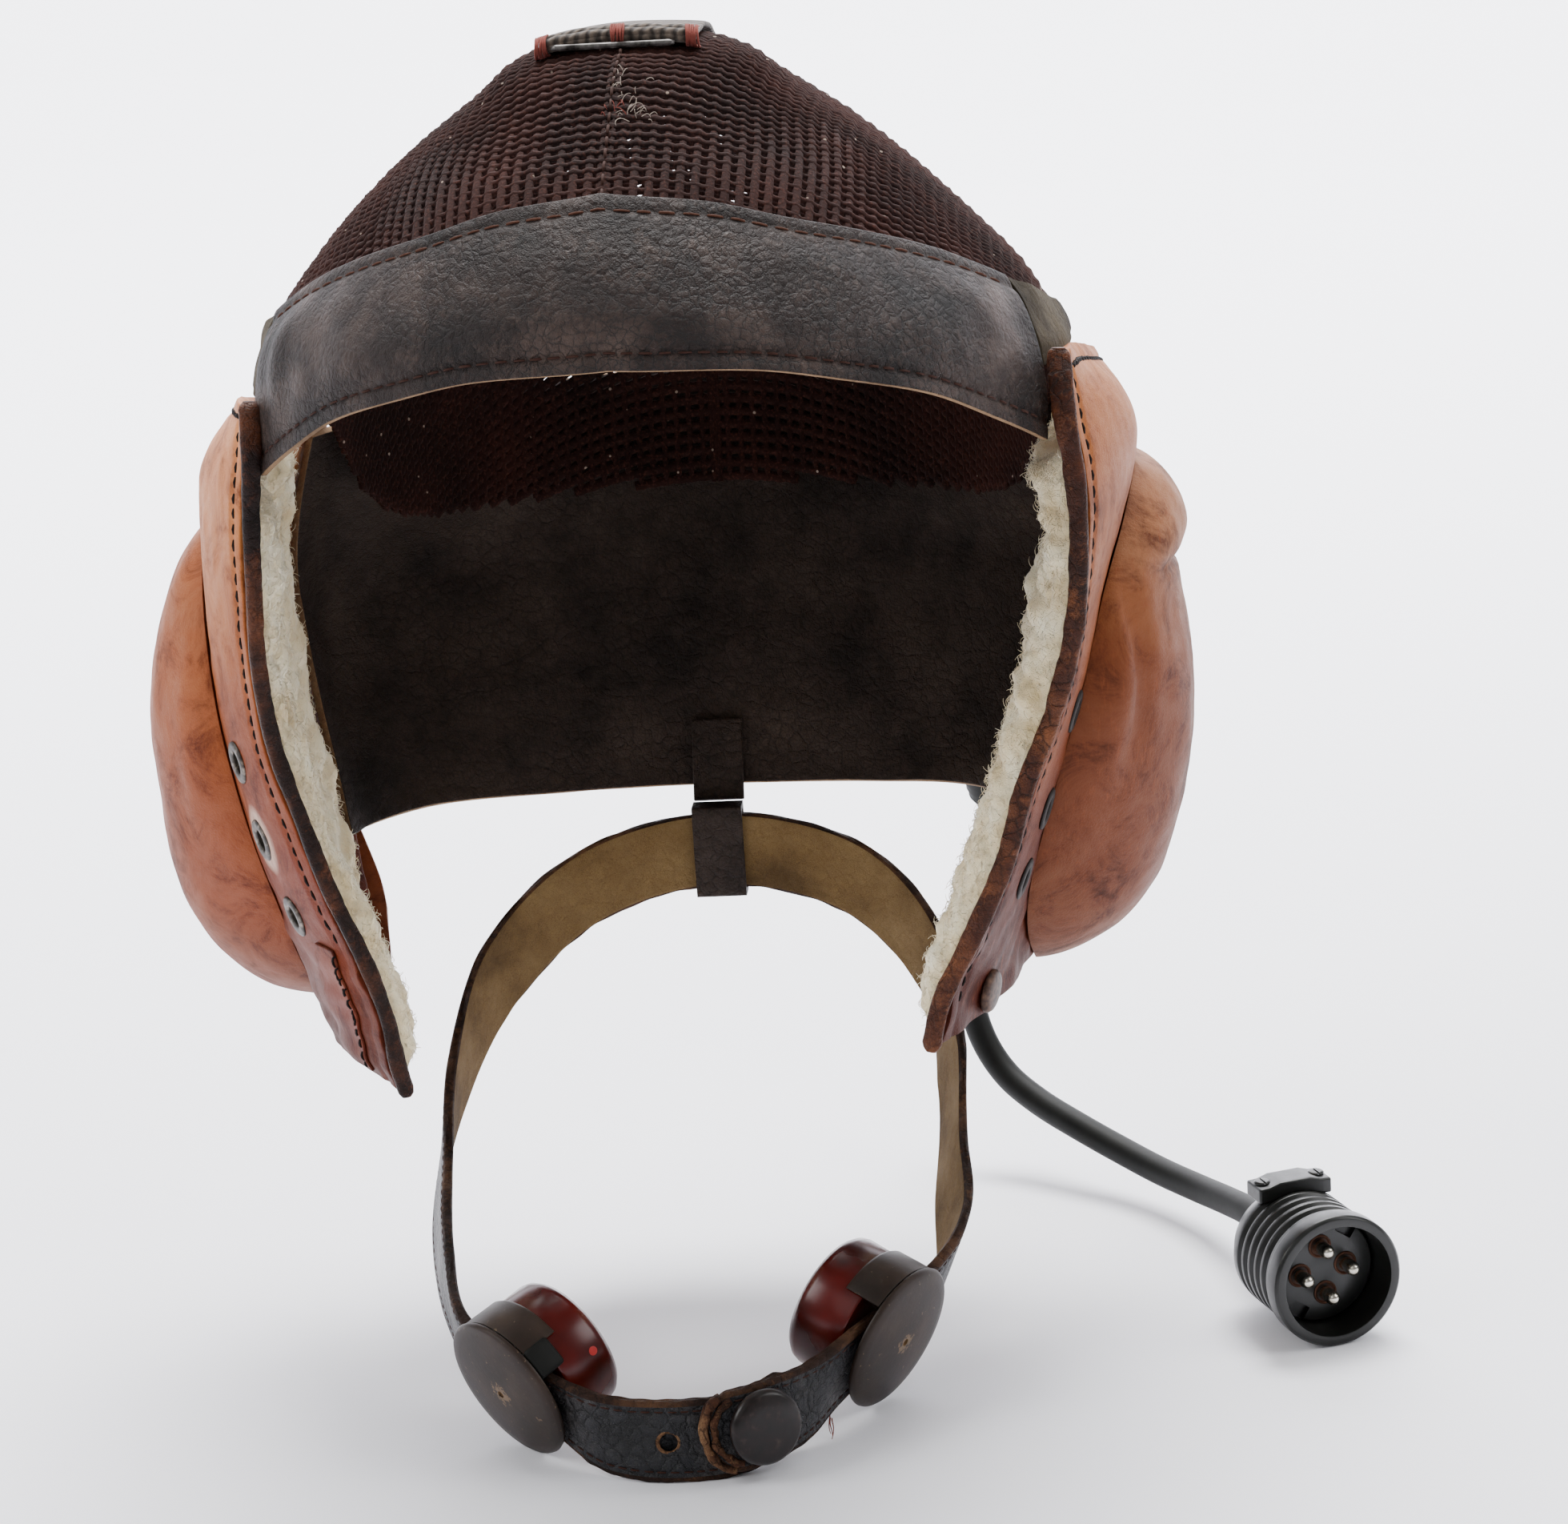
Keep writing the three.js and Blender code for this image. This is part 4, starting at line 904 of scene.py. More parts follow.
def tape_place(across, down):
    x = TAPE_SHIFT + (across - 0.5) * TAPE_WIDTH
    y = TAPE_BACK + (TAPE_ROLL_Y - 1.0 - TAPE_BACK) * down
    z = crown_height(x, y) + 1.85
    spots = np.stack([x, y, z], -1)
    spots[..., 2] += 0.18 * fine_noise(spots, 14, 2)
    return spots


twill, shader = new_material("grey_brown_cotton_twill_webbing", Base_Color="#6a5f57", Roughness=0.88)
shader.inputs["Sheen Weight"].default_value = 0.2
place = add_node(twill, "TexCoord")
turned_weave = add_node(
    twill, "Mapping", {"Vector": place.outputs["Object"], "Rotation": (0, 0, math.radians(38))}
)
# Twill lines about 0.9 mm apart.
ribs = add_node(
    twill,
    "TexWave",
    {"Vector": turned_weave.outputs["Vector"], "Scale": 175.0, "Distortion": 2.0, "Detail Scale": 3.0},
)
fibres = add_node(twill, "TexNoise", {"Vector": place.outputs["Object"], "Scale": 900.0, "Detail": 4.0})
# The webbing is coloured darker in the grooves between the twill ribs and paler on them: painted shade in the
# weave.
twill_rib_shading = add_node(twill, "ValToRGB", {"Fac": ribs.outputs["Fac"]}, [(0.1, "#332b26"), (0.8, "#6e645b")])
worn = add_node(twill, "ValToRGB", {"Fac": fibres.outputs["Fac"]}, [(0.3, "#6b5f57"), (0.75, "#a89c90")])
both = add_node(
    twill, "Mix", {
        0: 0.65, 6: twill_rib_shading.outputs["Color"], 7: worn.outputs["Color"]
    }, data_type="RGBA", blend_type="OVERLAY"
)
give(twill, shader, "Base Color", both.outputs[2])
weave = add_node(twill, "Bump", {"Height": ribs.outputs["Fac"], "Strength": 0.6, "Distance": 0.0004})
give(twill, shader, "Normal", weave.outputs["Normal"])

tape = finish_sheet(sewn_sheet("tape", 48, 90, tape_place, 1.1, (0, 0, -60)), twill)
roll_lines = []
for k in range(4):
    x = TAPE_SHIFT + np.linspace(-TAPE_WIDTH / 2 - 0.3, TAPE_WIDTH / 2 + 0.3, 60)
    turn = math.radians((205, 150, 95, 20)[k])
    middle = crown_height(x, TAPE_ROLL_Y - 2 + 0 * x) + 0.7 + TAPE_ROLL_RADIUS
    y = TAPE_ROLL_Y - 0.6 + 1.75 * math.cos(turn) + 0.12 * np.sin(x * 1.3 + k)
    z = middle + 1.0 * math.sin(turn) + 0.1 * np.sin(x * 0.9 + 2 * k)
    nip = 1 - 0.14 * np.exp(
        -(((x - TAPE_SHIFT + 15.2) / 1.2) ** 2)
    ) - 0.14 * np.exp(-(((x - TAPE_SHIFT - 15.2) / 1.2) ** 2))
    roll_lines.append((np.stack([x, y, z], -1), UP, 1.25 * nip, 1.05 * nip))
roll = strands("tape_roll", roll_lines, 12)
roll.data.materials.append(twill)
tape = join("tape", tape, roll)
hand_over(tape, "tape", "crown_tape")

tack_lines = []
draw = random.Random(21)
for centre in (-16.2, 0.0, 15.6):
    for k in range(8):
        x = TAPE_SHIFT + centre + (k - 3.5) * 0.34 + draw.uniform(-0.08, 0.08)
        seat = float(crown_height(x, TAPE_ROLL_Y - 2)) + 0.7
        turn = np.radians(np.linspace(70 + draw.uniform(-14, 14), 285, 12))
        y = TAPE_ROLL_Y - 0.9 + 3.35 * np.cos(turn)
        z = seat + TAPE_ROLL_RADIUS + 2.15 * np.sin(turn)
        wander = x + 0.25 * np.sin(turn * 1.5 + draw.uniform(0, 6)) * draw.uniform(0.2, 1)
        tack_lines.append((np.stack([wander, y, z], -1), (1.0, 0, 0), 0.24, 0.24))
tacks = strands("tape_tacks", tack_lines, 6)
tacks.data.materials.append(salmon_thread)
hand_over(tacks, "tape")

browned_steel, shader = new_material("browned_steel_wire", Base_Color="#4c4845", Metallic=0.9, Roughness=0.42)
place = add_node(browned_steel, "TexCoord")
rust = add_node(browned_steel, "TexNoise", {"Vector": place.outputs["Object"], "Scale": 500.0, "Detail": 5.0})
tint = add_node(
    browned_steel, "ValToRGB", {"Fac": rust.outputs["Fac"]}, [(0.35, "#2f2c2b"), (0.7, "#7a7674")]
)
give(browned_steel, shader, "Base Color", tint.outputs["Color"])
low, high = (np.array(corner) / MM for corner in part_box("crown_wire"))
wire_x = np.linspace(low[0], high[0], 24)
wire_line = np.stack([wire_x, 0 * wire_x + (low[1] + high[1]) / 2, 0 * wire_x + (low[2] + high[2]) / 2], -1)
wire_end = np.clip(np.minimum(wire_x - low[0], high[0] - wire_x) / 0.7, 0.35, 1) ** 0.5
wire = strands("wire", [(wire_line, UP, 0.7 * wire_end, 0.7 * wire_end)], 16)
wire.data.materials.append(browned_steel)
hand_over(wire, "steel", "crown_wire")

# Forehead band. Dark brown chrome leather, cracked and rubbed grey with age, sewn over the net with
# two rows of stitches. Its edges are cut raw, so a thin tan line shows along them.
def band_spot(across, down, lift=0.0):
    along = 2 * across - 1
    top = smooth(BAND, "along", np.abs(along), "top")
    bottom = smooth(BAND, "along", np.abs(along), "bottom")
    degrees = along * (BAND_END_TOP + (BAND_END_BOTTOM - BAND_END_TOP) * down)
    return head_spot(top + (bottom - top) * down, degrees, lift)


BAND_HEIGHT = 33.0
UPPER_ROW = 2.7 / BAND_HEIGHT
LOWER_ROW = 1 - 3.6 / BAND_HEIGHT


def band_lift(across, down):
    """Height of the band's face: it sinks at its stitches and wrinkles towards its ends."""
    sunk = 0.45 * np.exp(-(((down - UPPER_ROW) * BAND_HEIGHT / 0.8) ** 2))
    sunk += 0.45 * np.exp(-(((down - LOWER_ROW) * BAND_HEIGHT / 0.8) ** 2))
    puffed = 0.5 * ease(down, UPPER_ROW, UPPER_ROW + 0.25) * (1 - ease(down, LOWER_ROW - 0.25, LOWER_ROW))
    spots = band_spot(across, down)
    ends = ease(np.abs(2 * across - 1), 0.45, 0.95)
    folds = 0.42 * fine_noise(spots * [1, 1, 0.5], 9, 4) * ends * puffed * 2
    soft = 0.35 * fine_noise(spots, 30, 8) * puffed * 2
    return 2.1 + puffed - sunk + folds + soft


def leather(
    name,
    dark,
    middle,
    pale,
    roughness,
    pore_mm,
    crack=0.5,
    seed=0.0,
    rubbed=0.15,
    crack_mm=3.4,
    specular=0.2,
    wrinkled=0.3
):
    """Grained leather: large worn patches, fine pores, cracks that follow the grain, and pale rubs. The cracks and
    the grain's furrows are coloured darker as painted shade, and the grain's tops a little paler as painted
    highlight.
    """
    material, shader = new_material(name, Base_Color=middle, Roughness=roughness, Specular_IOR_Level=specular)
    place = add_node(material, "TexCoord")
    shifted = add_node(
        material, "Mapping", {"Vector": place.outputs["Object"], "Location": (seed, seed * 0.7, 0)}
    )
    where = shifted.outputs["Vector"]
    patches = add_node(
        material, "TexNoise", {"Vector": where, "Scale": 42.0, "Detail": 6.0, "Roughness": 0.6}
    )
    tint = add_node(
        material, "ValToRGB", {"Fac": patches.outputs["Fac"]}, [(0.34, dark), (0.5, middle), (0.78, pale)]
    )
    bent = add_node(material, "TexNoise", {"Vector": where, "Scale": 160.0, "Detail": 3.0})
    pulled = add_node(
        material, "Mix", {0: 0.006, 6: where, 7: bent.outputs["Color"]}, data_type="RGBA", blend_type="ADD"
    )
    grain = add_node(
        material,
        "TexVoronoi",
        {"Vector": pulled.outputs[2], "Scale": 1000 / pore_mm, "Randomness": 1.0},
        feature="DISTANCE_TO_EDGE",
    )
    furrow = add_node(material, "MapRange", {"Value": grain.outputs["Distance"], "From Max": 0.16})
    torn = add_node(material, "TexNoise", {"Vector": where, "Scale": 210.0, "Detail": 5.0, "Roughness": 0.7})
    wavy = add_node(
        material, "Mix", {0: 0.0035, 6: where, 7: torn.outputs["Color"]}, data_type="RGBA", blend_type="ADD"
    )
    cracks = add_node(
        material, "TexVoronoi", {
            "Vector": wavy.outputs[2], "Scale": 1000 / crack_mm
        }, feature="DISTANCE_TO_EDGE"
    )
    crack_line = add_node(
        material, "MapRange", {
            "Value": cracks.outputs["Distance"], "From Max": 0.09, "To Min": 1.0, "To Max": 0.0
        }
    )
    old = add_node(material, "TexNoise", {"Vector": where, "Scale": 24.0, "Detail": 4.0})
    cracked = add_node(
        material,
        "MapRange",
        {"Value": old.outputs["Fac"], "From Min": 0.38, "From Max": 0.56, "To Max": crack}
    )
    lines = add_node(
        material, "Math", {
            0: crack_line.outputs["Result"], 1: cracked.outputs["Result"]
        }, operation="MULTIPLY"
    )
    # The cracks are coloured toward the dark tone where the bump sinks them: painted shade in the cracks.
    crack_shaded = add_node(
        material,
        "Mix",
        {0: lines.outputs[0], 6: tint.outputs["Color"], 7: dark},
        data_type="RGBA",
    )
    # The grain's furrows darken the colour and its tops lighten it a little: painted shade and painted highlight
    # in the pores.
    fine = add_node(material, "MapRange", {"Value": furrow.outputs["Result"], "To Min": 0.72, "To Max": 1.06})
    shaded = add_node(
        material,
        "Mix",
        {0: 1.0, 6: crack_shaded.outputs[2], 7: fine.outputs["Result"]},
        data_type="RGBA",
        blend_type="MULTIPLY",
    )
    # Rubs and scratches a millimetre or two long, crowded where the leather is oldest.
    scraped = add_node(
        material, "TexNoise", {
            "Vector": where, "Scale": 620.0, "Detail": 9.0, "Roughness": 0.8, "Distortion": 0.8
        }
    )
    crowd = add_node(
        material, "TexNoise", {"Vector": where, "Scale": 130.0, "Detail": 6.0, "Roughness": 0.75}
    )
    both = add_node(
        material, "Math", {0: scraped.outputs["Fac"], 1: crowd.outputs["Fac"]}, operation="ADD"
    )
    bare = add_node(
        material, "MapRange", {"Value": both.outputs[0], "From Min": 1.04, "From Max": 1.3, "To Max": rubbed}
    )
    frayed = add_node(
        material, "Mix", {0: bare.outputs["Result"], 6: shaded.outputs[2], 7: pale}, data_type="RGBA"
    )
    give(material, shader, "Base Color", frayed.outputs[2])
    rub = add_node(
        material,
        "MapRange",
        {
            "Value": patches.outputs["Fac"],
            "From Min": 0.3,
            "From Max": 0.7,
            "To Min": roughness + 0.12,
            "To Max": roughness - 0.08
        },
    )
    give(material, shader, "Roughness", rub.outputs["Result"])
    pores = add_node(
        material, "Bump", {"Height": furrow.outputs["Result"], "Strength": 0.5, "Distance": 0.00025}
    )
    split = add_node(
        material,
        "Bump",
        {"Height": lines.outputs[0], "Strength": 0.6, "Distance": 0.0006, "Normal": pores.outputs["Normal"]},
        invert=True,
    )
    humps = add_node(material, "MapRange", {"Value": cracks.outputs["Distance"], "From Max": 0.4})
    humped = add_node(
        material,
        "Bump",
        {
            "Height": humps.outputs["Result"],
            "Strength": wrinkled,
            "Distance": 0.0007,
            "Normal": split.outputs["Normal"]
        },
    )
    swell = add_node(
        material,
        "Bump",
        {
            "Height": crowd.outputs["Fac"],
            "Strength": wrinkled,
            "Distance": 0.0012,
            "Normal": humped.outputs["Normal"]
        },
    )
    give(material, shader, "Normal", swell.outputs["Normal"])
    return material


band_leather = leather(
    "cracked_dark_chrome_leather", "#0c0605", "#20130f", "#55443c", 0.54, 0.6, 0.8, rubbed=0.55, crack_mm=2.2, specular=0.26, wrinkled=0.4
)
raw_edge = leather("raw_tan_leather_edge", "#5a4534", "#7d6248", "#97795a", 0.85, 0.5, 0.1)
band = sewn_sheet(
    "band", 300, 60, lambda a, d: band_spot(
        a, d, band_lift(a, d)
    ), 1.5, (0, 0, -60), rim_slot=True, bevel=0.35
)
finish_sheet(band, band_leather, raw_edge)
hand_over(band, "dark_leather", "forehead_band")
along = np.linspace(0.012, 0.988, 400)
band_rows = []
for label, row, thread, long in (
    ("upper", UPPER_ROW, orange_thread, 3.5), ("lower", LOWER_ROW, rust_thread, 2.7)
):
    level = np.full(400, row)
    line = band_spot(along, level, band_lift(along, level))
    off = band_spot(along, level, band_lift(along, level) + 1) - line
    row = stitches("band_stitches_" + label, thread, line + off * 0.08, off, long, 1.0, 0.25, 0.3, seed=row)
    band_rows.append(row)
band_stitches = join("band_stitches", *band_rows)
hand_over(band_stitches, "dark_leather")

# Temple gussets. Small khaki suede triangles that fill the corner between band, net and side flap.
GUSSET_BACK = 66.3
GUSSET_BOTTOM = 68.0
suede = leather("khaki_split_suede", "#241e15", "#3f3729", "#5c513e", 0.92, 0.45, 0.15, 0.31, rubbed=0.4)


def gusset_place(side):
    def place(across, down):
        top_front = 51.0
        top = top_front + (GUSSET_BACK - top_front) * across
        depth = top + (GUSSET_BOTTOM - top) * down
        front = BAND_END_TOP + 0.6 - (depth - top_front) * 0.27
        degrees = front + (104 - front) * across
        crease = 0.5 * fine_noise(head_spot(depth, degrees), 11, 9)
        return head_spot(depth, side * degrees, 1.75 + crease * 0.6)

    return place


for name, side in (("left", 1), ("right", -1)):
    gusset = sewn_sheet("gusset_" + name, 60, 36, gusset_place(side), 1.1, (0, 0, -60), bevel=0.25)
    finish_sheet(gusset, suede)
    hand_over(gusset, "suede", "temple_gusset_" + name)

# Side flaps. Vegetable-tanned calf, 2 mm thick, coloured paler towards the top and darker red-brown towards the
# bottom. Each hangs from the crown past the ear to the jaw and is sewn to the net along its top.
FLAP = table("""
    down edgeLeft edgeRight edgeY midLeft midRight midY backLeft backRight backY
    64    89.5  84   -36     93   91.5   -6   90.5  90.5  34
    70    90    83.8 -38.5   96.5 94.8   -6   93.5  93.5  38
    78    90.8  84   -41    100.5 98     -6   96    96    46
    90    92.3  84.9 -42.5  102  100.5   -6   97    97    56
    106   92.2  85.6 -43.5   99  101.5   -6   95    97    63
    122   90.3  86   -44     94  102     -6   91    96.5  67
    140   85    84   -44.8   90  101.5   -6   87    95    68
    155   78.6  79.3 -47     86   99.5   -7   84    92.5  66
    170   73.8  74.2 -50     81   96     -8   80    89    61
    185   66.5  67.5 -53     76.5 91    -10   76    85.5  53
    198   59.5  62.9 -55.5   73.5 86.5  -12   73.5  82    43
    207   57    61.5 -57     72   83    -14   73    80    34
    213   56.5  60   -57.5   71   80.5  -16   72.5  78    24
""")
FLAP_EDGE = table("""
    along drop
    0     0
    0.2   1
    0.42  4
    0.7   9
    1     16
""")
FLAP_TOP = {1: 64.0, -1: 67.0}
FLAP_BOTTOM = {1: 207.0, -1: 213.0}
PANEL_THICKNESS = 2.0
FRONT_SEAM = 3.0


def flap_top(side, along):
    return FLAP_TOP[side] + smooth(FLAP_EDGE, "along", along, "drop")


def flap_form(side, down, along):
    """A flap's outer face as if on the wearer's left, by depth and share from front to back."""
    own = "Left" if side > 0 else "Right"
    edge, middle, back = (
        np.stack([smooth(FLAP, "down", down, part + own), smooth(FLAP, "down", down, part + "Y")], -1)
        for part in ("edge", "mid", "back")
    )
    split = 0.42
    along = np.asarray(along, float)
    shares = [
        (along - split) * (along - 1) / split,
        along * (along - 1) / (split * (split - 1)),
        along * (along - split) / (1 - split),
    ]
    flat = sum(share[..., None] * part for share, part in zip(shares, (edge, middle, back)))
    drop = down - flap_top(side, along)
    drawn = np.clip(1 - drop / (14 + 46 * np.maximum(along, 0) ** 3), 0, 1) ** 2
    share = drawn * ease(along, 0, 0.3)
    reach, half = smooth_reach(down, flat[..., 1])
    head = half * np.sqrt(np.maximum(1 - (flat[..., 1] / reach) ** 2, 0.04)) + side * sway(-down)
    seat = head + 4 + 3.2 * ease(along, 0.55, 0.9)
    return np.stack([flat[..., 0] + (seat - flat[..., 0]) * share, flat[..., 1], -down], -1)


def smooth_reach(down, y):
    reach = np.where(y < 0, smooth(HEAD, "down", down, "front"), smooth(HEAD, "down", down, "back"))
    return reach, smooth(HEAD, "down", down, "halfWidth")


def flap_spot(side, down, along, lift=0.0):
    """A place on a flap, lifted off it outwards."""
    down, along = np.broadcast_arrays(np.asarray(down, float), np.asarray(along, float))
    step = 1e-3
    fall = flap_form(side, down + step, along) - flap_form(side, down - step, along)
    run = flap_form(side, down, along + step) - flap_form(side, down, along - step)
    spot = flap_form(side, down, along) + as_unit(np.cross(fall, run)) * np.asarray(lift)[..., None]
    spot[..., 0] *= side
    return spot


def flap_along(side, down, y):
    """Where along a flap the given Y lies."""
    down, y = np.broadcast_arrays(np.asarray(down, float), np.asarray(y, float))
    low, high = np.full(down.shape, -0.1), np.full(down.shape, 1.1)
    for _ in range(30):
        middle = (low + high) / 2
        before = flap_form(side, down, middle)[..., 1] < y
        low, high = np.where(before, middle, low), np.where(before, high, middle)
    return low


def edge_distance(along):
    """Rough distance in mm from a flap's front edge."""
    return along * 76.0


def flap_face(side, down, along):
    """Small rises and falls of the leather: stitch grooves, the sewn top edge and old creases."""
    front = edge_distance(along)
    groove = 0.5 * np.exp(-(((front - FRONT_SEAM) / 0.7) ** 2))
    top = down - flap_top(side, along)
    groove += 0.4 * np.exp(-(((top - 3.0) / 0.7) ** 2))
    spots = flap_form(side, down, along)
    waves = 0.32 * fine_noise(spots * [1, 1, 0.6], 26, 15 + side) + 0.1 * fine_noise(spots, 7, 19 + side)
    creased = 0.45 * fine_noise(spots * [0.4, 1, 1.6], 12, 23 + side) * ease(down, 165, 200)
    return waves + creased - groove + 0.25


def tan_leather(name, seed, lowest, highest, stops, chafed=None):
    """Vegetable-tanned leather with a low gloss. Its colour runs through stops from a lowest to a
    highest level, in mm. It is stained and scuffed, and chafed pale in a ring round one place."""
    material, shader = new_material(name, Base_Color="#a9663f", Roughness=0.5, Specular_IOR_Level=0.14)
    place = add_node(material, "TexCoord")
    shifted = add_node(material, "Mapping", {"Vector": place.outputs["Object"], "Location": (seed, 0, seed)})
    where = shifted.outputs["Vector"]
    height = add_node(material, "SeparateXYZ", {"Vector": place.outputs["Object"]})
    clouds = add_node(
        material, "TexNoise", {"Vector": where, "Scale": 19.0, "Detail": 5.0, "Roughness": 0.55}
    )
    drift = add_node(
        material,
        "MapRange",
        {"Value": clouds.outputs["Fac"], "From Min": 0.2, "From Max": 0.8, "To Min": -0.035, "To Max": 0.035},
    )
    level = add_node(material, "Math", {0: height.outputs["Z"], 1: drift.outputs["Result"]}, operation="ADD")
    span = add_node(
        material,
        "MapRange",
        {"Value": level.outputs[0], "From Min": lowest * MM, "From Max": highest * MM},
    )
    tint = add_node(
        material,
        "ValToRGB",
        {"Fac": span.outputs["Result"]},
        stops,
    )
    stain_noise = add_node(
        material, "TexNoise", {
            "Vector": where, "Scale": 75.0, "Detail": 9.0, "Roughness": 0.78, "Distortion": 0.6
        }
    )
    stain = add_node(
        material,
        "ValToRGB",
        {"Fac": stain_noise.outputs["Fac"]},
        [(0.33, "#7d5844"), (0.49, "#e6d8cc"), (0.72, "#ffffff")],
    )
    stained = add_node(
        material,
        "Mix",
        {0: 0.9, 6: tint.outputs["Color"], 7: stain.outputs["Color"]},
        data_type="RGBA",
        blend_type="MULTIPLY",
    )
    # Scratches and rubs, a few mm long, run mostly down the leather.
    pulled = add_node(
        material, "Mapping", {"Vector": where, "Scale": (3.0, 3.0, 0.5), "Rotation": (0.3, 0.2, 0)}
    )
    rubs = add_node(
        material, "TexNoise", {
            "Vector": pulled.outputs["Vector"], "Scale": 260.0, "Detail": 6.0, "Roughness": 0.75
        }
    )
    rubbed = add_node(
        material, "MapRange", {
            "Value": rubs.outputs["Fac"], "From Min": 0.54, "From Max": 0.72, "To Max": 0.7
        }
    )
    scuffed = add_node(
        material, "Mix", {0: rubbed.outputs["Result"], 6: stained.outputs[2], 7: "#7a3f22"}, data_type="RGBA"
    )
    if chafed is not None:
        away = add_node(
            material, "VectorMath", {0: place.outputs["Object"], 1: tuple(chafed * MM)}, operation="DISTANCE"
        )
        ring = add_node(
            material,
            "MapRange",
            {"Value": away.outputs["Value"], "From Min": 0.0085, "From Max": 0.0062, "To Max": 0.7},
        )
        patchy = add_node(
            material, "Math", {0: ring.outputs["Result"], 1: rubs.outputs["Fac"]}, operation="MULTIPLY"
        )
        bright = add_node(material, "Math", {0: patchy.outputs[0], 1: 1.6}, operation="MULTIPLY")
        scuffed = add_node(
            material, "Mix", {0: bright.outputs[0], 6: scuffed.outputs[2], 7: "#d3b8a6"}, data_type="RGBA"
        )
    give(material, shader, "Base Color", scuffed.outputs[2])
    # Pores of calf leather, about 0.7 mm apart.
    pores = add_node(material, "TexVoronoi", {"Vector": where, "Scale": 1400.0}, feature="DISTANCE_TO_EDGE")
    grain = add_node(material, "MapRange", {"Value": pores.outputs["Distance"], "From Max": 0.25})
    gloss = add_node(
        material,
        "MapRange",
        {
            "Value": stain_noise.outputs["Fac"],
            "From Min": 0.3,
            "From Max": 0.7,
            "To Min": 0.68,
            "To Max": 0.46
        },
    )
    give(material, shader, "Roughness", gloss.outputs["Result"])
    fine = add_node(
        material, "Bump", {"Height": grain.outputs["Result"], "Strength": 0.22, "Distance": 0.0002}
    )
    folds = add_node(
        material,
        "Bump",
        {
            "Height": stain_noise.outputs["Fac"],
            "Strength": 0.35,
            "Distance": 0.0012,
            "Normal": fine.outputs["Normal"]
        },
    )
    give(material, shader, "Normal", folds.outputs["Normal"])
    return material


EYELETS = {1: [(143, -28.5), (164, -29.5), (178.7, -32)], -1: [(146.5, -30), (163.8, -31), (180.7, -33)]}
EYELET_HOLE = 3.2


def flap_frame(side, down, y):
    along = flap_along(side, down, y)
    spot = flap_spot(side, down, along)
    return spot, flap_spot(side, down, along, 1.0) - spot


def panel_place(side):
    def place(across, down_share):
        along = across
        top = flap_top(side, along)
        down = top + (FLAP_BOTTOM[side] - top) * down_share
        return flap_spot(side, down, along, flap_face(side, down, along))

    return place


FLAP_COLOURS = {
    1: [(0.0, "#43190c"), (0.25, "#562512"), (0.5, "#6d3719"), (0.75, "#94572c"), (1.0, "#b2723f")],
    -1: [(0.0, "#4f1f0d"), (0.25, "#702f15"), (0.5, "#934e23"), (0.8, "#b4713d"), (1.0, "#c98758")],
}
panel_leather = {
    1: tan_leather("vegetable_tanned_calf_left", 0.13, -205, -62, FLAP_COLOURS[1]),
    -1: tan_leather(
        "vegetable_tanned_calf_right", 0.57, -205, -62, FLAP_COLOURS[-1], chafed=flap_frame(-1, *EYELETS[-1][1])[0]
    ),
}
for name, side in (("left", 1), ("right", -1)):
    panel = sewn_sheet(
        "flap_" + name, 110, 200, panel_place(side), PANEL_THICKNESS, (0, 10, -140), bevel=0.35
    )
    finish_sheet(panel, panel_leather[side])
    drills = []
    for down, y in EYELETS[side]:
        spot, away = flap_frame(side, down, y)
        bpy.ops.mesh.primitive_cylinder_add(vertices=32, radius=EYELET_HOLE, depth=14)
        drill = bpy.context.active_object
        drills.append(set_down(drill, spot, away, UP))
    cut_away(panel, *drills)
    shade(panel, 50)
    hand_over(panel, "tan_leather", "ear_panel_" + name)

    # On the mended side the row stops where the patch starts.
    down = np.linspace(FLAP_TOP[side] + 5, 201 if side > 0 else 183, 300)
    along = np.full(300, FRONT_SEAM / 76)
    lift = flap_face(side, down, along)
    line = flap_spot(side, down, along, lift)
    off = flap_spot(side, down, along, lift + 1) - line
    front_row = stitches("row", dark_thread, line + off * 0.05, off, 2.5, 0.9, 0.34, 0.3, seed=31)
    along = np.linspace(0.02, 0.9, 160)
    down = flap_top(side, along) + 3.0
    lift = flap_face(side, down, along)
    line = flap_spot(side, down, along, lift)
    off = flap_spot(side, down, along, lift + 1) - line
    aside = as_unit(np.cross(np.gradient(line, axis=0), off))
    top_row = stitches(
        "row", dark_thread, line + off * 0.1 + aside * 0.4, off, 2.4, 0.4, 0.32, 0.2, slant=0.6, seed=32
    )
    crossed = stitches(
        "row", dark_thread, line + off * 0.1 + aside * 0.4, off, 2.4, 0.4, 0.32, 0.2, slant=-0.6, seed=33
    )
    rows = join("flap_stitches_" + name, front_row, top_row, crossed)
    hand_over(rows, "tan_leather")

# Patch. A thin red-brown strip mends the wearer's right flap near its tip. It is whipped down along
# the front in dark thread.
PATCH_TOP = 184.5


def patch_place(across, down_share):
    down = PATCH_TOP + (FLAP_BOTTOM[-1] - 1.5 - PATCH_TOP) * down_share
    front = 0.06 + 0.02 * down_share
    back = 0.125 + 0.115 * down_share + 0.004 * np.sin(down * 0.9)
    along = front + (back - front) * across
    return flap_spot(-1, down, along, flap_face(-1, down, along) + 0.75)


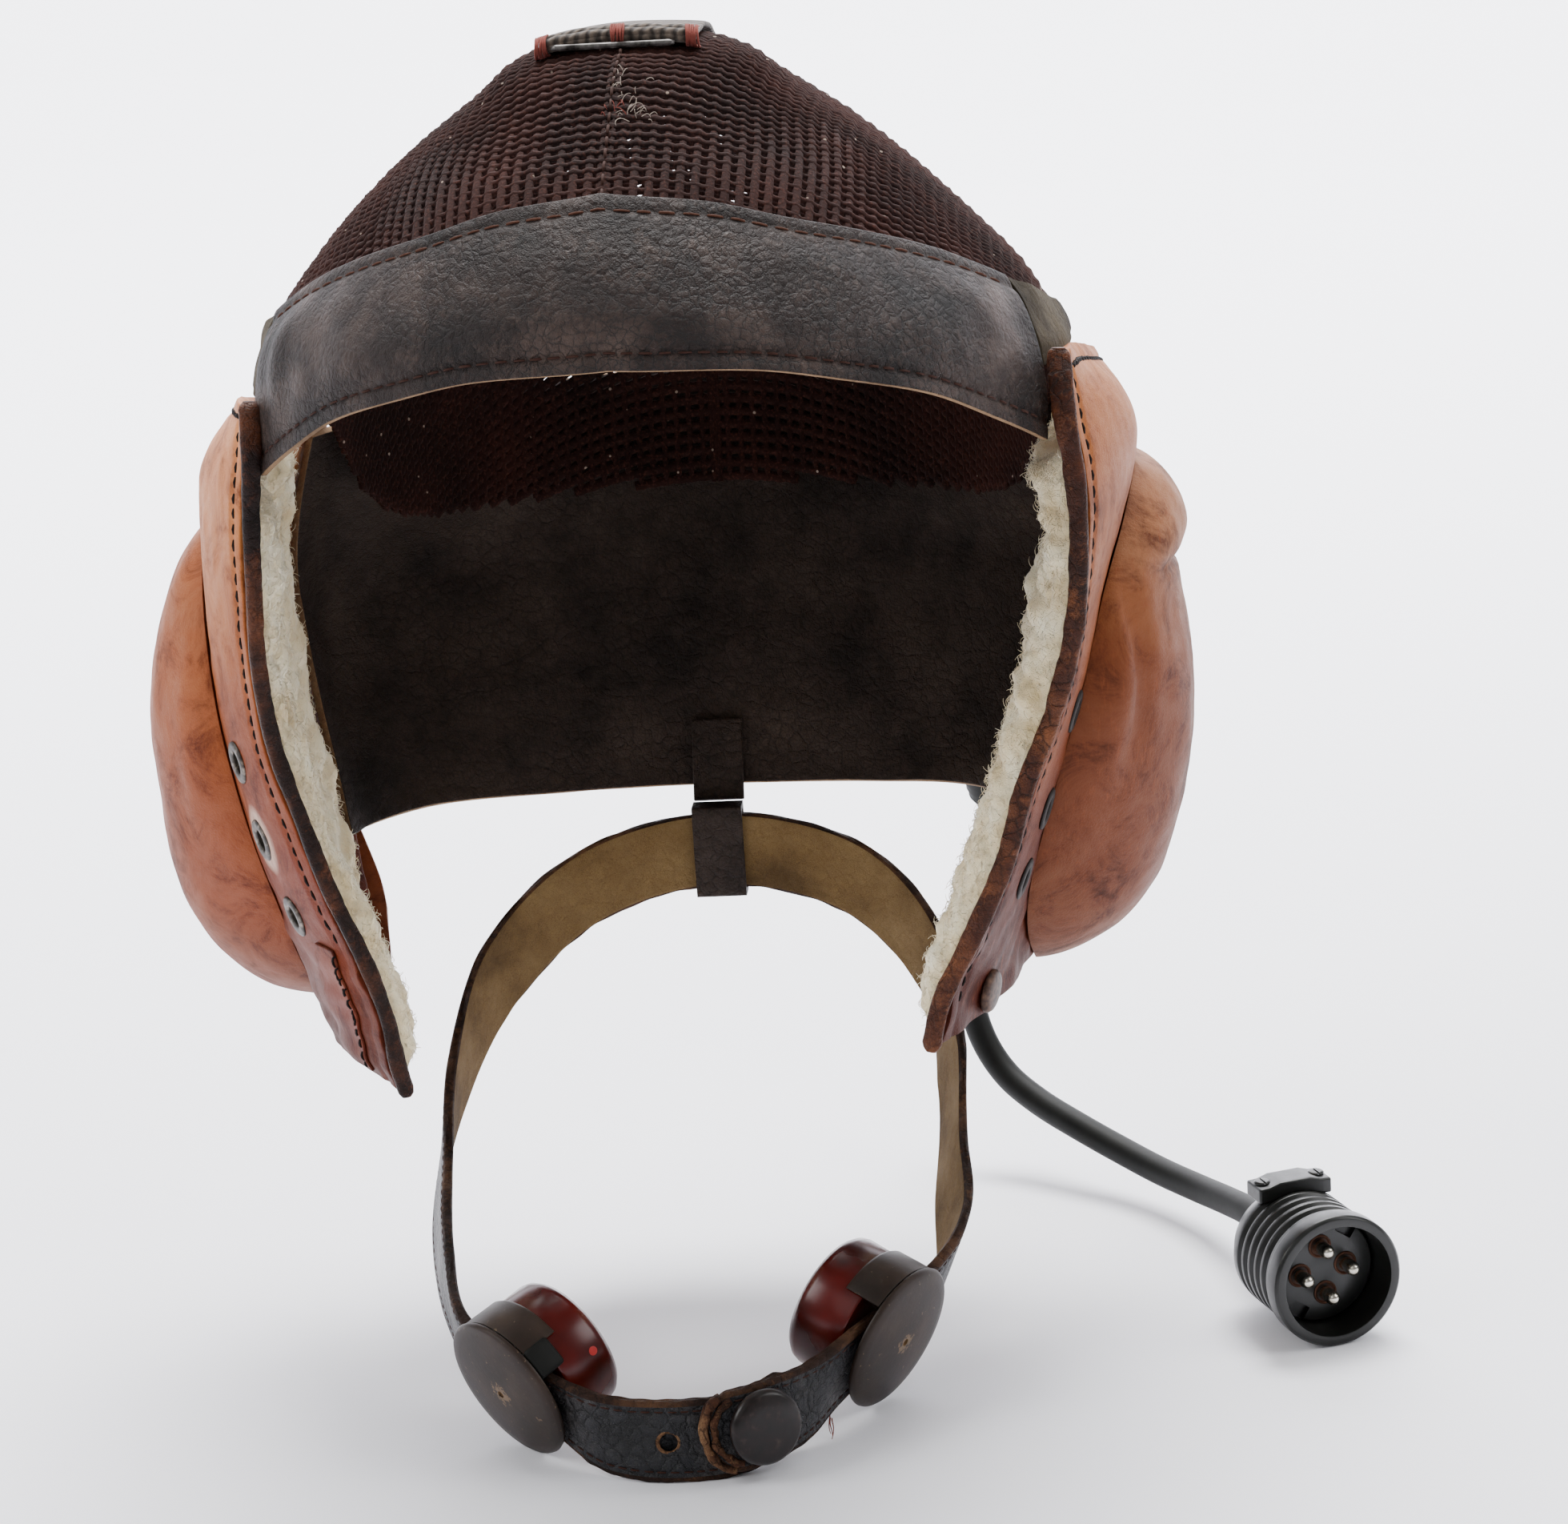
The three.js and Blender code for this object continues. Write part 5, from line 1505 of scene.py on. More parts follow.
patch_leather = tan_leather(
    "thin_red_brown_skiver", 3.3, -212, -184, [(0.0, "#552518"), (0.5, "#6b3020"), (1.0, "#7c4230")]
)
patch = sewn_sheet("flap_patch", 24, 70, patch_place, 0.7, (0, 10, -140), bevel=0.2)
finish_sheet(patch, patch_leather)
hand_over(patch, "tan_leather")
shares = np.linspace(0.02, 0.98, 80)
whip_line = patch_place(0.06 + 0 * shares, shares)
whip_off = as_unit(
    flap_spot(-1, 200 + 0 * shares, 0.1 + 0 * shares, 1.0) - flap_spot(-1, 200 + 0 * shares, 0.1 + 0 * shares)
)
whips = [
    stitches(
        "whip", dark_thread, whip_line + whip_off * 0.1, whip_off, 1.6, gap, 0.27, 0.2, slant=slant, seed=35
    )
    for slant, gap in ((0.9, 0.8), (-0.5, 1.5))
]
hand_over(join("patch_stitches", *whips), "tan_leather")

# Front bindings. A strip of dark brown sheepskin leather folded round each flap's front edge and
# stitched through. It is worn through to orange-brown along its outer fold.
BINDING_WIDTH = {1: 4.3, -1: 3.7}
BINDING_DEPTH = 2.6
binding_leather = {
    1: leather(
        "worn_brown_binding_leather", "#20100a", "#412013", "#8a5230", 0.5, 0.8, 0.7, 0.77, rubbed=0.7
    ),
    -1: leather(
        "worn_dark_binding_leather", "#140b09", "#241410", "#7a4427", 0.5, 0.8, 0.7, 1.77, rubbed=0.5
    ),
}


def rim_sections(name, sections, material):
    """A mesh through rings of points that all have the same count."""
    rings = np.asarray(sections, float)
    count, sides = rings.shape[:2]
    faces = []
    for k in range(count - 1):
        for j in range(sides):
            a, b = k * sides + j, k * sides + (j + 1) % sides
            faces.append((a, b, b + sides, a + sides))
    faces.append(tuple(reversed(range(sides))))
    faces.append(tuple((count - 1) * sides + j for j in range(sides)))
    mesh = bpy.data.meshes.new(name)
    mesh.from_pydata((rings.reshape(-1, 3) * MM).tolist(), [], faces)
    piece = bpy.data.objects.new(name, mesh)
    bpy.context.scene.collection.objects.link(piece)
    bpy.ops.object.select_all(action="DESELECT")
    piece.select_set(True)
    bpy.context.view_layer.objects.active = piece
    bpy.ops.object.mode_set(mode="EDIT")
    bpy.ops.mesh.select_all(action="SELECT")
    bpy.ops.mesh.normals_make_consistent(inside=False)
    bpy.ops.object.mode_set(mode="OBJECT")
    mesh.materials.append(material)
    shade(piece, 60)
    return piece


for name, side in (("left", 1), ("right", -1)):
    down = np.linspace(FLAP_TOP[side] - 1, FLAP_BOTTOM[side] + 1.5, 170)
    start = flap_spot(side, down, 0 * down, -PANEL_THICKNESS / 2 - 0.6)
    outward = as_unit(flap_spot(side, down, 0 * down, 1.0) - flap_spot(side, down, 0 * down, 0.0))
    forward = as_unit(start - flap_spot(side, down, 0 * down + 0.04, -PANEL_THICKNESS / 2 - 0.6))
    rings = []
    for k in range(16):
        turn = 2 * math.pi * (k + 0.5) / 16
        ahead_by = 0.3 + (BINDING_DEPTH - 0.3) * 0.5 * (
            1 + math.copysign(abs(math.cos(turn)) ** 0.75, math.cos(turn))
        )
        wide = BINDING_WIDTH[side] * (
            1 + 0.3 * (1 - ease(down, FLAP_TOP[side], FLAP_TOP[side] + 40))
        )[:, None]
        out_by = wide / 2 * math.copysign(abs(math.sin(turn)) ** 0.8, math.sin(turn))
        wave = 0.14 * fine_noise(start, 8, 40 + side) + 0.06 * fine_noise(start, 2.6, 41)
        rings.append(
            start + forward * (ahead_by + wave[:, None]) + outward * (out_by * (1 + 0.5 * wave[:, None]))
        )
    rings = np.stack(rings, 1)
    ends = np.clip(np.minimum(down - down[0], down[-1] - down) / 1.2, 0.25, 1)[:, None, None] ** 0.5
    middle = rings.mean(1, keepdims=True)
    binding = rim_sections("binding_" + name, middle + (rings - middle) * ends, binding_leather[side])
    hand_over(binding, "binding", "edge_binding_" + name)

# Eyelets. Brass rings painted grey-brown, rolled over on the outside, the paint rubbed off the
# highest edge. Three stand in each flap; those in the wearer's left flap are coloured near-black instead.
eyelet_paint, shader = new_material(
    "rubbed_grey_brown_enamel", Base_Color="#4e453c", Roughness=0.5, Metallic=0.2
)
place = add_node(eyelet_paint, "TexCoord")
chips = add_node(eyelet_paint, "TexNoise", {"Vector": place.outputs["Object"], "Scale": 620.0, "Detail": 5.0})
tint = add_node(
    eyelet_paint, "ValToRGB", {"Fac": chips.outputs["Fac"]}, [
        (0.35, "#1f1a17"), (0.52, "#39322c"), (0.72, "#8b8074")
    ]
)
give(eyelet_paint, shader, "Base Color", tint.outputs["Color"])
# A near-black colour that the eyelets of the wearer's left flap take in place of the grey-brown paint.
near_black_eyelet_paint, shader = new_material(
    "near_black_eyelet_colour", Base_Color="#16100d", Roughness=0.55, Specular_IOR_Level=0.2
)
for name, side in (("left", 1), ("right", -1)):
    for k, (down, y) in enumerate(EYELETS[side]):
        bpy.ops.object.select_all(action="DESELECT")
        bpy.ops.mesh.primitive_torus_add(
            major_radius=3.6, minor_radius=1.2, major_segments=48, minor_segments=14, location=(0, 0, 0.75)
        )
        ring = bpy.context.active_object
        ring.data.transform(Matrix.Diagonal((1, 1, 0.5, 1)) @ Matrix.Translation((0, 0, 0.4 + 0.75)))
        ring.matrix_world = Matrix.Identity(4)
        tube = turned(
            "tube", [(2.5, -1.95), (2.5, 0.7), (2.95, 0.75), (2.95, -1.95), (2.5, -1.95)], 48, 0, capped=False
        )
        eyelet = join("eyelet_%s_%d" % (name, k + 1), ring, tube)
        eyelet.data.materials.append(eyelet_paint if side < 0 else near_black_eyelet_paint)
        shade(eyelet, 60)
        spot, away = flap_frame(side, down, y)
        set_down(eyelet, spot, away, UP)
        hand_over(eyelet, "eyelet_paint", "eyelet_%s_%d" % (name, k + 1))

# Ear domes. Stiff calf leather wetted and moulded over a block, 2 mm thick and hollow. Each is sewn
# to its flap round an oval rim, and has settled into a soft fold with age.
CUP_RIDGE = {
    1: table("""
        down x
        96   99
        100  106
        109  111.5
        121  110.5
        143  113.5
        163  112.5
        191  105
        203  96
        210  84
        212  78
    """),
    -1: table("""
        down x
        100  98
        104  106
        112  112.5
        126  117
        144  119.8
        163  120.7
        182  118.8
        198  112
        210  101.5
        215  90
    """),
}
CUP_Y = 21.0
CUP_HALF_Y = 41.0
CUP_FRONT_Y = {1: 46.5, -1: 41.0}
CUP_SEAT = 0.7


def cup_place(side):
    ridge = CUP_RIDGE[side]
    half = (ridge["down"][-1] - ridge["down"][0]) / 2

    def place(across, share):
        u, v = 2 * across - 1, 2 * share - 1
        u, v = u * np.sqrt(1 - v**2 / 2), v * np.sqrt(1 - u**2 / 2)
        radius = np.minimum(np.hypot(u, v), 1)
        spread_out = np.sin(radius * math.pi / 2) / np.maximum(radius, 1e-9)
        u, v = u * spread_out, v * spread_out
        y = CUP_Y + np.where(u < 0, CUP_FRONT_Y[side], CUP_HALF_Y) * u
        down = ridge["down"][0] + half * (1 + v)
        near = np.minimum(np.abs(u) / np.sqrt(np.maximum(1 - v**2, 1e-9)), 1)
        middle = flap_form(side, down, flap_along(side, down, CUP_Y + 0 * y))[..., 0]
        most = np.maximum(smooth(ridge, "down", down, "x") - middle - CUP_SEAT, 0)
        rise = most * (1 - near**2.6) ** 0.6
        seat = flap_form(side, down, flap_along(side, down, y))[..., 0] + CUP_SEAT
        spots = np.stack([seat + rise, y, -down], -1)
        held = ease(rise, 0, 6)
        if side > 0:
            # A soft fold down the front of the dome and a pinch below its upper lobe.
            line = -14.5 - 0.06 * (down - 110)
            ridge_line = 1.8 * np.exp(
                -(((y - line + 5.5) / 3.0) ** 2)
            ) - 1.7 * np.exp(-(((y - line) / 2.6) ** 2))
            ridge_line *= ease(down, 104, 118) * (1 - ease(down, 140, 172))
            pinch = -1.7 * np.exp(-(((down - 119.5 - 0.08 * y) / 1.5) ** 2)) * ease(y, -12, 8) * held
            pinch += 0.9 * np.exp(-(((down - 114) / 4.5) ** 2)) * ease(y, -12, 8) * held
            extra = ridge_line * held + pinch
        else:
            extra = -0.7 * np.exp(-(((y + 9 + 0.1 * (down - 150)) / 4.5) ** 2)) * ease(down, 108, 130) * held
        extra = extra + (0.55 * fine_noise(spots, 34, 51 + side) + 0.14 * fine_noise(spots, 9, 55)) * held
        spots[..., 0] = side * (spots[..., 0] + extra)
        return spots

    return place


CUP_COLOURS = {
    1: [(0.0, "#855a41"), (0.3, "#6a3a22"), (0.6, "#713e21"), (0.85, "#83502e"), (1.0, "#946647")],
    -1: [(0.0, "#7a4834"), (0.3, "#864729"), (0.6, "#935029"), (0.85, "#9e5d38"), (1.0, "#a46e50")],
}
for name, side in (("left", 1), ("right", -1)):
    moulded = tan_leather("wet_moulded_calf_" + name, 1.7 + side, -212, -100, CUP_COLOURS[side])
    cup = sewn_sheet("cup_" + name, 96, 96, cup_place(side), 2.0, (0, 20, -155), bevel=0)
    finish_sheet(cup, moulded)
    hand_over(cup, "tan_leather", "ear_cup_" + name)

# Sheepskin. Each flap is lined with cream fleece, about 10 mm deep, clumped into soft lumps, with
# loose curled ends of wool over it. The skin side lies against the leather.
PILE = 10.0
LINING_TOP = 84.5
fleece, shader = new_material("cream_sheepskin_wool", Base_Color="#efdcae", Roughness=0.95)
shader.inputs["Sheen Weight"].default_value = 0.5
shader.inputs["Sheen Roughness"].default_value = 0.6
shader.inputs["Subsurface Weight"].default_value = 0.25
shader.inputs["Subsurface Radius"].default_value = (1.0, 0.8, 0.6)
shader.inputs["Subsurface Scale"].default_value = 0.0015
place = add_node(fleece, "TexCoord")
clumps = add_node(fleece, "TexNoise", {"Vector": place.outputs["Object"], "Scale": 120.0, "Detail": 5.0})
tint = add_node(
    fleece, "ValToRGB", {"Fac": clumps.outputs["Fac"]}, [(0.3, "#dcc48f"), (0.5, "#f4e2b6"), (0.7, "#fff3d2")]
)
give(fleece, shader, "Base Color", tint.outputs["Color"])
fibres = add_node(
    fleece, "TexNoise", {"Vector": place.outputs["Object"], "Scale": 1100.0, "Detail": 6.0, "Distortion": 1.5}
)
wool = add_node(fleece, "Bump", {"Height": fibres.outputs["Fac"], "Strength": 0.8, "Distance": 0.0006})
give(fleece, shader, "Normal", wool.outputs["Normal"])


def fleece_form(side, rows, columns, back_columns):
    """Closed rings of places round the fleece, row by row, and how far each is on the pile's face."""
    fall = np.linspace(0, 1, rows)[:, None]
    share = np.r_[
        0.5 - 0.5 * np.cos(np.linspace(0, math.pi, columns)), np.linspace(1, 0, back_columns + 2)[1:-1]
    ]
    on_pile = np.r_[np.ones(columns), np.zeros(back_columns)]
    along = (0.012 + 0.85 * share)[None, :] + 0 * fall
    top = np.maximum(LINING_TOP, flap_top(side, along) + 2)
    down = top + (FLAP_BOTTOM[side] - 2 - top) * fall
    crown = (1 - np.abs(2 * share - 1) ** 7)[None, :] ** 0.42
    ends = np.clip(1 - np.abs(2 * fall - 1) ** 16, 0, 1) ** 0.4
    # At the top of the wearer's left flap the fleece bunches up.
    bunched = 7.5 * np.exp(-(((fall - 0.03) / 0.05) ** 2)) * (side > 0)
    depth = (0.4 + (PILE + bunched) * crown * ends) * on_pile[None, :]
    spots = flap_spot(side, down, along, -PANEL_THICKNESS - 0.8 - depth)
    return spots, depth / PILE


for name, side in (("left", 1), ("right", -1)):
    spots, depth = fleece_form(side, 230, 112, 14)
    run = np.gradient(spots, axis=0)
    across = np.roll(spots, -1, axis=1) - np.roll(spots, 1, axis=1)
    off = as_unit(np.cross(run, across))
    middle = spots.mean(1, keepdims=True)
    off *= np.sign(((spots - middle) * off).sum())
    lumps = 1.5 * np.abs(fine_noise(spots, 20, 61 + side)) + 1.1 * np.abs(fine_noise(spots, 13, 63 + side))
    lumps += 0.45 * np.abs(fine_noise(spots, 4.5, 67)) - 1.8
    spots = spots + off * (lumps * np.minimum(depth * 1.6, 1))[..., None]
    lining = rim_sections("fleece_" + name, spots, fleece)
    hand_over(lining, "sheepskin", "ear_lining_" + name)

    draw = random.Random(70 + side)
    lines = []
    for _ in range(5200):
        row, column = draw.randrange(2, 228), int(111 * draw.random() ** 1.35)
        if draw.random() < 0.35:
            row = draw.choice([draw.randrange(0, 14), draw.randrange(2, 228)])
        root, away = spots[row, column], off[row, column]
        sideways = as_unit(np.array([draw.gauss(0, 1) for _ in range(3)]))
        sideways = as_unit(sideways - away * (sideways @ away))
        length = draw.uniform(1.2, 2.8)
        curl = draw.uniform(1.2, 3.6)
        shares = np.linspace(0, 1, 6)
        turn = curl * shares
        rise = length * np.sin(turn) / curl
        lean = length * (1 - np.cos(turn)) / curl + 0.5 * length * shares * draw.uniform(0, 1)
        tuft = root + away * (rise - 0.4)[:, None] + sideways * lean[:, None]
        lines.append(
            (tuft, sideways, draw.uniform(0.08, 0.15) * (1 - 0.75 * shares), 0.1 * (1 - 0.6 * shares))
        )
    wisps = strands("fleece_wisps_" + name, lines, 3, closed_ends=False)
    wisps.data.materials.append(fleece)
    hand_over(wisps, "sheepskin")

# Cheek stud. A domed snap cap in dark brown enamel near the lower end of the wearer's left flap.
dark_enamel, shader = new_material(
    "dark_brown_stoved_enamel", Base_Color="#1b1211", Roughness=0.3, Specular_IOR_Level=0.3
)
place = add_node(dark_enamel, "TexCoord")
worn = add_node(dark_enamel, "TexNoise", {"Vector": place.outputs["Object"], "Scale": 480.0, "Detail": 6.0})
tint = add_node(
    dark_enamel, "ValToRGB", {"Fac": worn.outputs["Fac"]}, [
        (0.35, "#120c0b"), (0.6, "#1a1110"), (0.85, "#3d312b")
    ]
)
give(dark_enamel, shader, "Base Color", tint.outputs["Color"])
dull = add_node(dark_enamel, "MapRange", {"Value": worn.outputs["Fac"], "To Min": 0.22, "To Max": 0.5})
give(dark_enamel, shader, "Roughness", dull.outputs["Result"])
stud = turned(
    "stud", [(4.2, 0.5), (4.8, 1.0), (4.8, 1.5), (4.3, 2.1), (3.2, 2.4), (1.6, 2.55), (0.4, 2.6)], 48, 0
)
brown_enamel, shader = new_material(
    "worn_brown_enamel", Base_Color="#3c271d", Roughness=0.5, Specular_IOR_Level=0.25
)
place = add_node(brown_enamel, "TexCoord")
worn = add_node(brown_enamel, "TexNoise", {"Vector": place.outputs["Object"], "Scale": 700.0, "Detail": 6.0})
tint = add_node(brown_enamel, "ValToRGB", {"Fac": worn.outputs["Fac"]}, [(0.4, "#2e1d15"), (0.7, "#5b4030")])
give(brown_enamel, shader, "Base Color", tint.outputs["Color"])
stud.data.materials.append(brown_enamel)
shade(stud, 50)
spot, away = flap_frame(1, 202, -37)
set_down(stud, spot, away, UP)
hand_over(stud, "disc_paint", "cheek_stud")

# Nape panel. A plain curved piece of the same dark leather closes the back below the net, sewn
# behind the flaps. A small loop on its lower edge carries the throat strap.
NAPE_TOP = 90.0
NAPE_BOTTOM = 186.0
NAPE_LIFT = 3.8


def nape_spots(turn, down, lift):
    """Places on the nape by share from the wearer's left round to the right, and by depth."""
    turn, down = np.broadcast_arrays(np.asarray(turn, float), np.asarray(down, float))
    spots = np.empty(turn.shape + (3,))
    for level in np.unique(down):
        inset = -(PANEL_THICKNESS + 0.3 + 1.6)
        seams = {}
        for side in (1, -1):
            seams[side] = flap_spot(side, level, np.array([0.93, 1.01, 1.0]), inset)
            seams[side][:, 2] = -level
        half, reach = smooth(HEAD, "down", level, "halfWidth"), smooth(HEAD, "down", level, "back")
        flare = ease(level, NAPE_TOP, NAPE_TOP + 45)
        route = [seams[1][0], seams[1][1]]
        for share in (0.82, 0.5, 0.0, -0.5, -0.82):
            x, y, _ = seams[-1 if share < 0 else 1][2]
            across = x * abs(share)
            on_head = reach * math.sqrt(1 - ((across - sway(-level)) / half) ** 2)
            flared = y + (reach - y) * math.sqrt(1 - share**2)
            route.append(np.array([across, on_head + (flared - on_head) * flare + NAPE_LIFT, -level]))
        route += [seams[-1][1], seams[-1][0]]
        here = down == level
        shares = turn[here]
        line = through(route, shares)
        run = through(route, shares + 1e-4) - through(route, shares - 1e-4)
        away = as_unit(np.stack([run[:, 1], -run[:, 0], 0 * shares], -1))
        spots[here] = line + away * np.broadcast_to(lift, turn.shape)[here][:, None]
    return spots


def nape_place(across, down):
    level = np.round(NAPE_TOP + (NAPE_BOTTOM - NAPE_TOP) * down, 6)
    spots = nape_spots(across, level, 0.0)
    edge = ease(np.minimum(across, 1 - across), 0.05, 0.2)
    waves = edge * (0.4 * fine_noise(spots, 40, 81) + 0.15 * fine_noise(spots, 13, 82))
    return nape_spots(across, level, waves)


nape_leather = leather("plain_dark_chrome_leather", "#1c1512", "#2d231e", "#3f332c", 0.6, 0.9, 0.35, 0.9)
nape = sewn_sheet("nape", 150, 90, nape_place, 2.0, (0, 20, -140), rim_slot=True, bevel=0.3)
finish_sheet(nape, nape_leather, raw_edge)
hand_over(nape, "dark_leather", "nape_panel")

# Throat strap. Two layers of leather sewn together at both edges, 18 mm wide: black-brown grain
# outside and tan suede inside. It runs round the neck and laps over itself at the front, where a
# large snap fastens it.
STRAP = table("""
    row  x     y     z      lean
    0    22.8  -67.6 -282.5 4
    1    11    -79   -284.8 -4
    2    -4    -82   -285   -5
    3    -16.5 -80.6 -283.8 3
    4    -27.2 -74.4 -280.4 17
    5    -37.5 -65.5 -277.1 20
    6    -47.8 -56.6 -274.1 14
    7    -57   -30   -268.5 -4
    8    -62   3     -257.5 -14
    9    -60.5 26    -241   -8
    10   -52   46    -222   0
    11   -34   61    -207   0
    12   -11   67    -200   0
    13   11    67    -200   0
    14   34    61    -207   0
    15   50    46    -222   4
    16   54.5  26    -241   16
    17   54.5  3     -258   22
    18   54.8  -16.5 -267.5 25
    19   50.2  -31.8 -272.8 21
    20   40.7  -45.3 -276.6 20.5
    21   31.6  -58.2 -279.8 16
    22   24.6  -71.6 -281.5 5
    23   15.5  -81.2 -282   -5
    24   5     -84.6 -283.4 -6
""")
STRAP_LINE = np.stack([STRAP["x"], STRAP["y"], STRAP["z"]], -1)
STRAP_WIDTH = 18.0
STRAP_THICKNESS = 2.4


def strap_frame(station):
    """The strap's middle, run, upward width and outward normal at stations along it."""
    station = np.atleast_1d(np.asarray(station, float))
    middle = through(STRAP_LINE, station / 24)
    ahead_by = through(STRAP_LINE, (station + 1e-3) / 24) - through(STRAP_LINE, (station - 1e-3) / 24)
    along = as_unit(ahead_by)
    upright = as_unit(UP - along * along[:, 2:3])
    outward = np.cross(upright, along)
    lean = np.radians(smooth(STRAP, "row", station, "lean"))[:, None]
    width = upright * np.cos(lean) + outward * np.sin(lean)
    normal = outward * np.cos(lean) - upright * np.sin(lean)
    return middle, along, width, normal


def strap_section(sides):
    """Half-depth and half-width shares round the strap: outer face, edge, inner face, edge."""
    face = np.linspace(-0.94, 0.94, sides)
    crowned = 1 - 0.1 * np.abs(face) ** 6
    outer = np.stack([crowned, face], -1)
    inner = np.stack([-crowned, face[::-1]], -1)
    top = np.array([[0.62, 0.99], [0.15, 1.0], [-0.2, 0.985], [-0.62, 1.0]])
    bottom = top[::-1] * [1, -1]
    return np.vstack([outer, top, inner, bottom]), sides


strap_leather = leather(
    "black_brown_strap_leather",
    "#0a0a0d",
    "#15151a",
    "#3c3633",
    0.42,
    0.8,
    0.8,
    1.3,
    rubbed=0.5,
    specular=0.4,
    wrinkled=0.5
)
strap_suede = leather("tan_suede_strap_lining", "#55422a", "#735b3a", "#8b724c", 0.95, 0.35, 0.1, 1.9)
strap_edge = leather(
    "worn_brown_strap_edge", "#160d09", "#2b1a12", "#6b492f", 0.75, 0.4, 0.5, 2.3, rubbed=0.6
)


def strap_wave(stations, across):
    """Rises and falls of the outer face: stitch grooves near both edges and creases across."""
    groove = 0.28 * np.exp(-(((np.abs(across) - 0.74) / 0.06) ** 2))
    spots = np.stack([stations * 11.0, across * 9.0, 0 * across], -1)
    creases = 0.14 * fine_noise(spots * [1.0, 0.25, 0], 5, 91) + 0.1 * fine_noise(spots, 16, 92)
    return creases - groove


stations = np.linspace(0, 24, 560)
middle, along, width, normal = strap_frame(stations)
shares, face_count = strap_section(26)
grid_stations, grid_up = np.meshgrid(stations, shares[:, 1], indexing="ij")
outside = shares[:, 0] > 0.6
waves = strap_wave(grid_stations, grid_up) * np.where(outside, 1.0, 0.25)[None, :]
ragged = 0.16 * fine_noise(
    np.stack([grid_stations * 11, grid_up * 30, shares[None, :, 0] * 9 + 0 * grid_up], -1), 4, 93
)
out_by = shares[None, :, 0] * STRAP_THICKNESS / 2 + waves * np.where(shares[None, :, 0] > 0, 1, -1)
up_by = shares[None, :, 1] * (STRAP_WIDTH / 2 + ragged * (np.abs(shares[None, :, 1]) > 0.95))
# One end is cut to a blunt point, the front one is round.
from_start = stations[:, None] * 14.0
from_end = (24 - stations)[:, None] * 11.0
blunt = np.clip(0.72 + 0.28 * from_start / 4.0, 0, 1) * (
    1 - (1 - np.clip(from_end / 6.0, 0.08, 1)) ** 2
) ** 0.5
rings = middle[:, None] + normal[:, None] * out_by[..., None] + width[:, None] * (up_by * blunt)[..., None]
strap = rim_sections("strap", rings, strap_leather)
strap.data.materials.append(strap_edge)
strap.data.materials.append(strap_suede)
slots = np.ones(len(shares), int)
slots[1 : face_count - 2] = 0
slots[face_count + 4 : 2 * face_count + 3] = 2
EDGE_SLOT = 1
for face in strap.data.polygons:
    if len(face.vertices) == 4:
        face.material_index = int(
            slots[min(face.vertices) % len(shares)]
        ) if face.index % len(shares) != len(shares) - 1 else 1
    else:
        face.material_index = EDGE_SLOT
hole_middle, _, hole_up, hole_out = (part[0] for part in strap_frame(2))
# The hole is punched through the grain layer and has closed in the suede behind it.
bpy.ops.mesh.primitive_cylinder_add(vertices=32, radius=2.2, depth=2.6)
drill = bpy.context.active_object
set_down(drill, hole_middle + hole_out * 1.2, hole_out, hole_up)
cut_away(strap, drill)
shade(strap, 50)
hand_over(strap, "dark_leather", "throat_strap")

strap_rows = []
for level in (0.74, -0.74):
    at = np.linspace(0.25, 23.75, 900)
    middle, along, width, normal = strap_frame(at)
    lift = STRAP_THICKNESS / 2 + strap_wave(at, np.full(900, level))
    line = middle + width * (level * STRAP_WIDTH / 2) + normal * lift[:, None]
    strap_rows.append(stitches("row", rust_thread, line, normal, 2.1, 0.7, 0.2, 0.2, seed=int(level * 100)))
strap_stitches = join("strap_stitches", *strap_rows)
hand_over(strap_stitches, "dark_leather")

# The strap's front end is rounded. Its layers have come apart along the cut edge, which is worn pale
# brown, and a welt is folded over behind them.
end_lines = []
for k, (out, back, fat, reach) in enumerate(
    ((1.25, -1.3, 0.8, 8.4), (0.2, -1.0, 0.75, 8.3), (-0.8, -1.2, 0.7, 8.2), (1.35, 0.9, 0.75, 7.2))
):
    turn = np.linspace(-1.35, 1.35, 60)
    walked = back + 6.4 * (1 - np.cos(turn))
    middle, along, width, normal = strap_frame(24 - np.maximum(walked, 0) / 11.0)
    bumps = np.stack([turn * 9, 0 * turn + k * 7, 0 * turn], -1)
    wobble = 0.2 * fine_noise(bumps, 4, 97 + k)
    line = middle + width * (np.sin(turn) * reach)[:, None] + normal * (out + wobble)[:, None]
    line += along * (np.maximum(-walked, 0) + wobble)[:, None]
    fat = fat + 0.16 * fine_noise(bumps, 3, 99 + k)
    end_lines.append((line, along, fat, fat * 1.1))
# The punched hole has a worn brown lip.
hole_middle, hole_along, hole_up, hole_out = (part[0] for part in strap_frame(2))
turn = np.linspace(0, 2 * math.pi, 41)[:, None]
lip = hole_middle + hole_out * 1.1 + (hole_up * np.cos(turn) + hole_along * np.sin(turn)) * 2.35
end_lines.append((lip, hole_out, 0.42, 0.3))
end_edge = strands("strap_end_layers", end_lines, 12)
end_leather = leather(
    "frayed_brown_strap_end", "#1e110b", "#472a1b", "#94704f", 0.8, 0.4, 0.6, 3.1, rubbed=0.9
)
end_edge.data.materials.append(end_leather)
hand_over(end_edge, "dark_leather")

